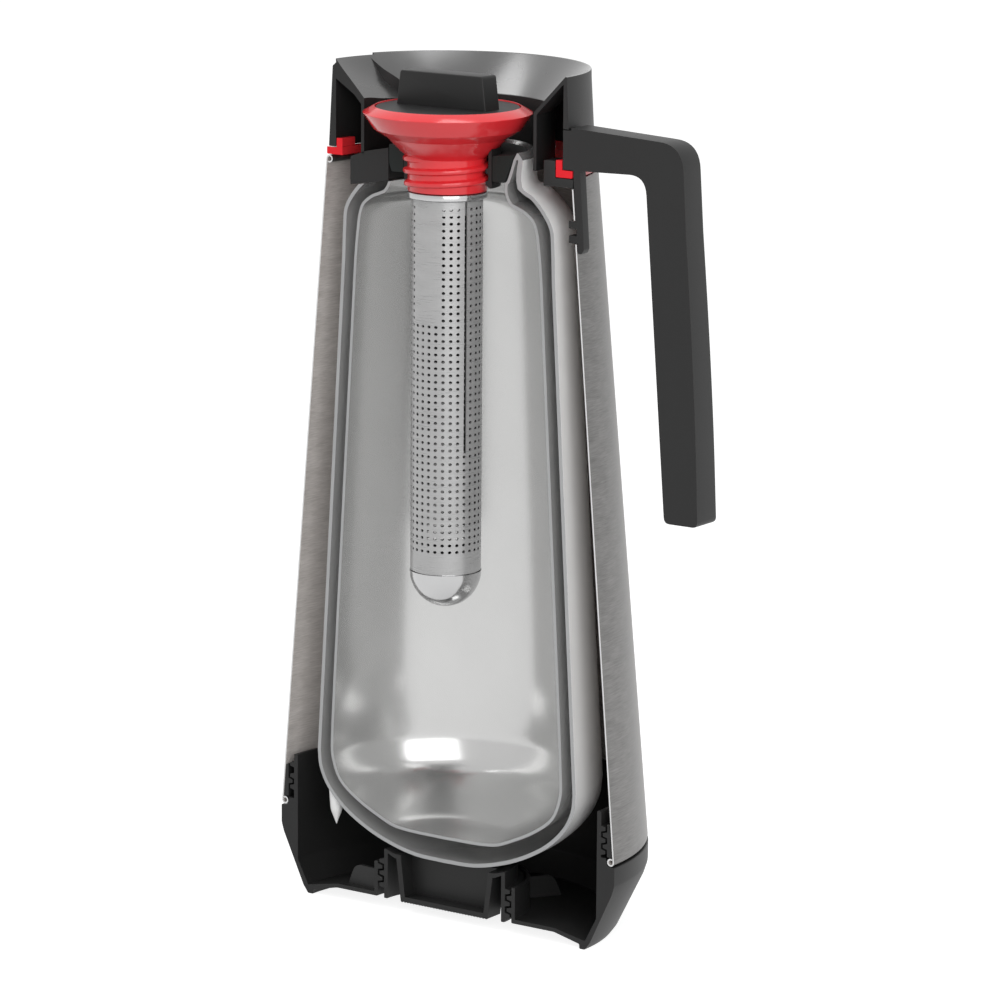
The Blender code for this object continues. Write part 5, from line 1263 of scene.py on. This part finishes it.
@dataclass
class Grip(SubAssembly):
    """Handle with its tail and split stud, and the bracket inside the steel."""

    arm_half: float = 11.2
    foot_half: float = 12.4
    arm_foot_z: float = 259.9
    foot_z: float = 148.3
    edge: float = 1.4

    def outline(self) -> Outline:
        """Side view of the arm and the grip."""
        outer = curve_through([(93.09, 243.2), (95.67, 210.8), (97.77, 178.4), (99.1, 148.3)], 5)
        crown = rounded([(48.8, 273.7), (91.3, 271.5), outer[0]], 8.6, 10, False)
        toe = rounded([outer[-2], (99.1, 148.3), (86.3, 148.3), (84.7, 170.0)], 2.0, 4, False)
        elbow = rounded([(86.3, 148.3), (77.4, 260.6), (48.8, 259.9)], 6.2, 8, False)
        return crown + outer[1:-2] + toe[:-1] + elbow[1:]

    def flare(self, height: float) -> float:
        """Share of the arm's width at a height."""
        share = (self.arm_foot_z - height) / (self.arm_foot_z - self.foot_z)
        return 1.0 + min(max(share, 0.0), 1.0) * (self.foot_half / self.arm_half - 1.0)

    def build(self) -> None:
        """Makes handle and bracket."""
        bench = self.bench
        item = bench.plate("moulded_handle", self.outline(), self.arm_half, self.edge, 0.0, self.flare)
        root = bench.block("root", (45.6, -8.0, 260.0), (51.9, 8.0, 272.8))
        item = bench.combine(item, root, Join.ADD)
        tail = [(49.8, 262.2), (49.8, 257.0), (51.85, 233.0), (53.3, 233.0), (54.1, 234.6), (52.1, 262.2)]
        item = bench.combine(item, bench.plate("tail", rounded(tail, 0.5), 3.5, 0.3), Join.ADD)
        stud = bench.rod("stud", (48.24, 0.0, 239.9), 3.6, 4.6)
        split = bench.block("split", (46.0, -7.0, 238.75), (51.24, 7.0, 241.05))
        item = bench.combine(item, bench.combine(stud, split, Join.TAKE), Join.ADD)
        item = bench.combine(item, self.half_block(), Join.KEEP)
        item.name = "moulded_handle"
        bench.dress(item, "satin_black", cut="cut_black")
        bench.seat(item, Body.JUG, Slot.BLACK, "handle")
        bracket = bench.refined("handle_bracket", "inner_bracket", 0.25)
        bench.dress(bracket, "satin_black", cut="cut_black")
        bench.seat(bracket, Body.JUG, Slot.BLACK, "handle_bracket")


@dataclass
class Stopper(SubAssembly):
    """Red sealing body with its thread, and the cap with its grip."""

    pitch: float = 4.05
    turns: float = 2.2
    start: float = 251.7
    first: float = 195.0

    def build(self) -> None:
        """Makes the sealing body and the cap."""
        bench = self.bench
        outline = [(0.0, 274.0)] + rounded([
            (0.0, 274.0), (24.0, 274.0), (24.0, 277.3), (28.0, 275.1), (24.5, 269.8), (22.3, 268.4),
            (20.0, 267.0), (16.0, 262.7), (14.6, 261.65), (13.2, 260.6), (13.2, 249.5), (9.8, 249.5),
            (9.8, 243.0), (0.0, 243.0),
        ], 0.3, 3, False)[1:]
        core = bench.turned("stopper_body", outline, 0.0, 360.0, 144)
        section = [(12.9, -1.3), (14.3, -0.85), (14.65, -0.55), (14.75, -0.2),
                   (14.75, 0.2), (14.65, 0.55), (14.3, 0.85), (12.9, 1.3)]
        ridge = bench.coil("stopper_thread", section, self.pitch, self.turns, self.start, self.first)
        item = bench.join("stopper_body", core, ridge)
        bench.dress(item, "gloss_red")
        bench.seat(item, Body.STOPPER, Slot.RED, "stopper_seal")
        disc = bench.turned(
            "stopper_top", rounded([(0.0, 276.9), (23.7, 276.9), (23.7, 274.3), (0.0, 274.3)], 0.4),
            0.0, 360.0, 144,
        )
        side = rounded([(-18.0, 275.6), (18.0, 275.6), (16.4, 288.2), (-16.4, 288.2)], 1.0, 4)
        grip = bench.plate("grip", side, 4.05, 0.4)
        cap = bench.join("stopper_top", disc, grip)
        bench.dress(cap, "satin_black")
        bench.seat(cap, Body.STOPPER, Slot.BLACK, "stopper_cap")


@dataclass
class Infuser(SubAssembly):
    """Steel collar, perforated tube with its slot, and domed end cap."""

    radius: float = 11.8
    wall: float = 0.5
    step: float = 12.0
    first: float = -72.3
    pitch: float = 2.286
    low_z: float = 128.857
    rows: int = 51
    hole_wide: float = 0.62
    hole_tall: float = 0.52
    slot_angle: float = -23.3
    slot_half: float = 2.43
    slot_rows: int = 15
    strip_rows: int = 34
    foot_z: float = 122.3
    head_z: float = 246.9

    def tile(self, low: float, height: float, kind: str) -> bpy.types.Object:
        """One tile of the wall about the origin, in metres, with a hole, a slot or neither.

        Args:
            low: Height of its foot in millimetres.
            height: Its height in millimetres.
            kind: "hole", "slot" or "plain".

        Returns:
            The tile.
        """
        shape = bmesh.new()
        inner = self.radius - self.wall
        half = self.step / 2

        def corner(radius: float, angle: float, z: float) -> bmesh.types.BMVert:
            turn = math.radians(angle)
            return shape.verts.new((radius * math.cos(turn), radius * math.sin(turn), z))

        if kind == "hole":
            mid = low + height / 2
            frame_points = [(half, mid), (half, mid + height / 2), (0.0, mid + height / 2),
                            (-half, mid + height / 2), (-half, mid), (-half, low), (0.0, low), (half, low)]
            wide = math.degrees(self.hole_wide / self.radius)
            rows = []
            for radius in (self.radius, inner):
                edge = [corner(radius, a, z) for a, z in frame_points]
                hole = []
                for index in range(8):
                    turn = math.tau * index / 8
                    spot = (wide * math.cos(turn), mid + self.hole_tall * math.sin(turn))
                    hole.append(corner(radius, *spot))
                rows.append((edge, hole))
            for index in range(8):
                after = (index + 1) % 8
                (edge, hole), (back, bore) = rows
                shape.faces.new((edge[index], edge[after], hole[after], hole[index]))
                shape.faces.new((back[after], back[index], bore[index], bore[after]))
                shape.faces.new((hole[index], hole[after], bore[after], bore[index]))
            return self.bench.loose("tile", shape)
        spans = [(-half, 0.0), (0.0, half)]
        if kind == "slot":
            offset = (self.slot_angle - self.first) % self.step
            offset -= self.step if offset > half else 0.0
            spans = [(-half, offset - self.slot_half), (offset + self.slot_half, half)]
        middle = low + height / 2
        halves = [(*span, *part) for span in spans for part in ((low, middle), (middle, low + height))]
        for start, end, foot, head in halves:
            spots = ((start, foot), (end, foot), (end, head), (start, head))
            front = [corner(self.radius, a, z) for a, z in spots]
            back = [corner(inner, a, z) for a, z in spots]
            shape.faces.new(front)
            shape.faces.new(list(reversed(back)))
            if kind == "slot":
                a, b = (1, 2) if start == -half else (3, 0)
                shape.faces.new((front[a], back[a], back[b], front[b]))
        return self.bench.loose("tile", shape)

    @staticmethod
    def at_level(edge: bmesh.types.BMEdge, level: float) -> bool:
        """Whether both ends of an edge lie at a height in millimetres."""
        return all(abs(vert.co.z - level * MM) < 0.00001 for vert in edge.verts)

    def build_tube(self) -> None:
        """Makes the wall from tiles: bands at both ends, holes, the bare strip and the slot; its inner faces
        get painted shade.
        """
        steel = self.bench.shelf["infuser_sheet"]
        top_z = self.low_z + self.rows * self.pitch
        high, strip_rows, slot_rows = self.rows, self.strip_rows, self.slot_rows
        plan = (
            ("hole", 1, 3, 0, high), ("hole", 5, 22, 0, high), ("hole", 27, 4, 0, strip_rows),
            ("plain", 27, 4, strip_rows, high - strip_rows), ("hole", 4, 1, 0, slot_rows),
            ("slot", 4, 1, slot_rows, high - slot_rows),
        )
        made = []
        for kind, column, columns, row, rows in plan:
            tile = self.tile(self.low_z + row * self.pitch, self.pitch, kind)
            first = self.first + column * self.step
            made.append(self.repeater.repeat(tile, columns, first, self.step, steel, rows, self.pitch))
        foot = self.tile(self.foot_z, self.low_z - self.foot_z, "plain")
        made.append(self.repeater.repeat(foot, 30, self.first, self.step, steel))
        band = self.head_z - top_z
        for kind, column, columns in (("slot", 4, 1), ("plain", 5, 29)):
            tile = self.tile(top_z, band, kind)
            first = self.first + column * self.step
            made.append(self.repeater.repeat(tile, columns, first, self.step, steel))
        item = self.bench.join("perforated_tube", *made)
        shape = bmesh.new()
        shape.from_mesh(item.data)
        bmesh.ops.remove_doubles(shape, verts=shape.verts, dist=0.00001)
        slot_z = self.low_z + slot_rows * self.pitch
        for level in (self.head_z, slot_z):
            rim = [edge for edge in shape.edges if edge.is_boundary and self.at_level(edge, level)]
            bmesh.ops.contextual_create(shape, geom=rim)
        foot_rim = [edge for edge in shape.edges if edge.is_boundary and self.at_level(edge, self.foot_z)]
        bmesh.ops.bridge_loops(shape, edges=foot_rim)
        LOG.info("open edges of the tube: %d", sum(edge.is_boundary for edge in shape.edges))
        bmesh.ops.recalc_face_normals(shape, faces=shape.faces)
        # Faces that point towards the axis get the dark inner finish: painted shade inside the tube.
        center = self.bench.axis.point(0.0, 0.0, 0.0)
        for face in shape.faces:
            spoke = face.calc_center_median() - center
            face.material_index = int(spoke.x * face.normal.x + spoke.y * face.normal.y < 0.0)
        shape.to_mesh(item.data)
        shape.free()
        self.bench.shade(item)
        self.bench.dress(item, "infuser_sheet", "infuser_inside_painted_shade")
        self.bench.seat(item, Body.INFUSER, Slot.INFUSER, "infuser_tube")

    def build(self) -> None:
        """Makes collar, tube and cap."""
        bench = self.bench
        flange = rounded([(13.2, 249.2), (13.2, 247.2), (11.0, 247.2), (11.0, 242.0), (10.1, 242.0),
                          (10.1, 249.2)], 0.35)
        item = bench.turned("infuser_flange", flange, 0.0, 360.0, 120)
        bench.dress(item, "infuser_polished")
        bench.seat(item, Body.INFUSER, Slot.INFUSER, "infuser_collar")
        self.build_tube()
        dome = [(12.0, 122.0), (11.52, 118.5), (9.6, 114.5), (6.6, 111.56), (3.0, 109.9), (0.0, 109.5)]
        bowl = [(0.0, 110.1), (2.6, 110.5), (5.7, 112.1), (8.3, 114.9), (10.0, 118.7), (10.4, 122.0)]
        outline = rounded([(10.4, 124.0), (10.4, 126.0), (11.0, 126.0), (11.0, 122.0)], 0.2, 2, False)
        outline += curve_through(dome, 4) + curve_through(bowl, 4)
        cap = bench.turned("infuser_end", outline, 0.0, 360.0, 120)
        bench.dress(cap, "infuser_polished")
        bench.seat(cap, Body.INFUSER, Slot.INFUSER, "infuser_cap")


@dataclass
class Studio:
    """Floor, world, lamps and the camera at the photograph's viewing angle."""

    axis: JugAxis
    azimuth: float = 34.712
    elevation: float = 11.685
    roll: float = 0.4177
    distance: float = 1663.7
    lens: float = 180.13
    target: Spot = (14.79, 10.25, 145.54)
    lamps: tuple[tuple[str, Spot, float, float], ...] = (
        ("key_lamp", (-820.0, -420.0, 1380.0), 0.7, 7.0),
        ("front_lamp", (1000.0, -950.0, 620.0), 1.2, 11.0),
        ("fill_lamp", (1400.0, -300.0, 700.0), 1.2, 1.5),
        ("top_lamp", (-60.0, 260.0, 1700.0), 0.5, 3.0),
    )

    def camera(self) -> bpy.types.Object:
        """Makes the camera and sets it as the scene's camera."""
        azimuth = math.radians(self.azimuth)
        elevation = math.radians(self.elevation)
        roll = math.radians(self.roll)
        back = Vector((
            math.sin(azimuth) * math.cos(elevation),
            -math.cos(azimuth) * math.cos(elevation),
            math.sin(elevation),
        ))
        right = (-back).cross(Vector((0.0, 0.0, 1.0))).normalized()
        up = right.cross(-back)
        turned_right = right * math.cos(roll) + up * math.sin(roll)
        turned_up = up * math.cos(roll) - right * math.sin(roll)
        data = bpy.data.cameras.new("studio_camera")
        data.lens = self.lens
        data.sensor_width = 36.0
        data.clip_end = 20.0
        item = bpy.data.objects.new("studio_camera", data)
        place = self.axis.point(*self.target) + back * self.distance * MM
        turn = Matrix((turned_right, turned_up, back)).transposed().to_4x4()
        item.matrix_world = Matrix.Translation(place) @ turn
        bpy.context.collection.objects.link(item)
        bpy.context.scene.camera = item
        return item

    def world(self) -> None:
        """White for the eye, for reflections and through glass, and plainer as light."""
        world = bpy.data.worlds.new("studio_world")
        bpy.context.scene.world = world
        world.use_nodes = True
        nodes = world.node_tree.nodes
        links = world.node_tree.links
        ground = nodes["Background"]
        path = nodes.new("ShaderNodeLightPath")
        first = nodes.new("ShaderNodeMath")
        first.operation = "MAXIMUM"
        second = nodes.new("ShaderNodeMath")
        second.operation = "MAXIMUM"
        level = nodes.new("ShaderNodeMapRange")
        level.inputs["To Min"].default_value = 0.5
        level.inputs["To Max"].default_value = 1.0
        links.new(path.outputs["Is Camera Ray"], first.inputs[0])
        links.new(path.outputs["Is Glossy Ray"], first.inputs[1])
        links.new(first.outputs[0], second.inputs[0])
        links.new(path.outputs["Is Transmission Ray"], second.inputs[1])
        links.new(second.outputs[0], level.inputs["Value"])
        links.new(level.outputs["Result"], ground.inputs["Strength"])
        ground.inputs["Color"].default_value = (1.0, 1.0, 1.0, 1.0)

    def floor(self) -> bpy.types.Object:
        """Makes the pale floor, which keeps a soft shadow."""
        mesh = bpy.data.meshes.new("studio_floor")
        shape = bmesh.new()
        bmesh.ops.create_circle(shape, cap_ends=True, segments=96, radius=6.0)
        shape.to_mesh(mesh)
        shape.free()
        item = bpy.data.objects.new("studio_floor", mesh)
        bpy.context.collection.objects.link(item)
        material = bpy.data.materials.new("pale_floor")
        material.use_nodes = True
        nodes = material.node_tree.nodes
        links = material.node_tree.links
        shader = nodes["Principled BSDF"]
        shader.inputs["Base Color"].default_value = (0.4, 0.4, 0.4, 1.0)
        shader.inputs["Roughness"].default_value = 1.0
        shader.inputs["Specular IOR Level"].default_value = 0.0
        glow = nodes.new("ShaderNodeEmission")
        path = nodes.new("ShaderNodeLightPath")
        either = nodes.new("ShaderNodeMath")
        either.operation = "MAXIMUM"
        share = nodes.new("ShaderNodeMath")
        share.operation = "MULTIPLY"
        share.inputs[1].default_value = 0.85
        both = nodes.new("ShaderNodeAddShader")
        links.new(path.outputs["Is Camera Ray"], either.inputs[0])
        links.new(path.outputs["Is Glossy Ray"], either.inputs[1])
        links.new(either.outputs[0], share.inputs[0])
        links.new(share.outputs[0], glow.inputs["Strength"])
        links.new(shader.outputs[0], both.inputs[0])
        links.new(glow.outputs[0], both.inputs[1])
        links.new(both.outputs[0], nodes["Material Output"].inputs["Surface"])
        mesh.materials.append(material)
        return item

    def lamp(self, name: str, place: Spot, size: float, power: float) -> None:
        """Adds a square area lamp that faces the jug.

        Args:
            name: Name of the lamp.
            place: Place about the jug's axis in millimetres.
            size: Side of the lamp in metres.
            power: Power in watts.
        """
        data = bpy.data.lights.new(name, "AREA")
        data.shape = "SQUARE"
        data.size = size
        data.energy = power
        item = bpy.data.objects.new(name, data)
        start = self.axis.point(*place)
        aim = self.axis.point(0.0, 20.0, 150.0) - start
        turn = aim.to_track_quat("-Z", "Y").to_matrix().to_4x4()
        item.matrix_world = Matrix.Translation(start) @ turn
        bpy.context.collection.objects.link(item)

    def build(self) -> None:
        """Makes the whole studio."""
        self.world()
        self.floor()
        for name, place, size, power in self.lamps:
            self.lamp(name, place, size, power)
        self.camera()
        bpy.context.scene.view_settings.view_transform = "Standard"


def main() -> None:
    """Builds the studio and every sub-assembly."""
    logging.basicConfig(level=logging.INFO, format="%(message)s")
    axis = JugAxis.from_base()
    Studio(axis).build()
    bench = Bench(axis, FinishShelf(Textures(axis)))
    repeater = Repeater(axis)
    for kind in (SteelShell, Base, GlassLiner, Neck, Top, Grip, Stopper, Infuser):
        kind(bench, repeater).build()
        LOG.info("built %s", kind.__name__)


if __name__ == "__main__":
    main()
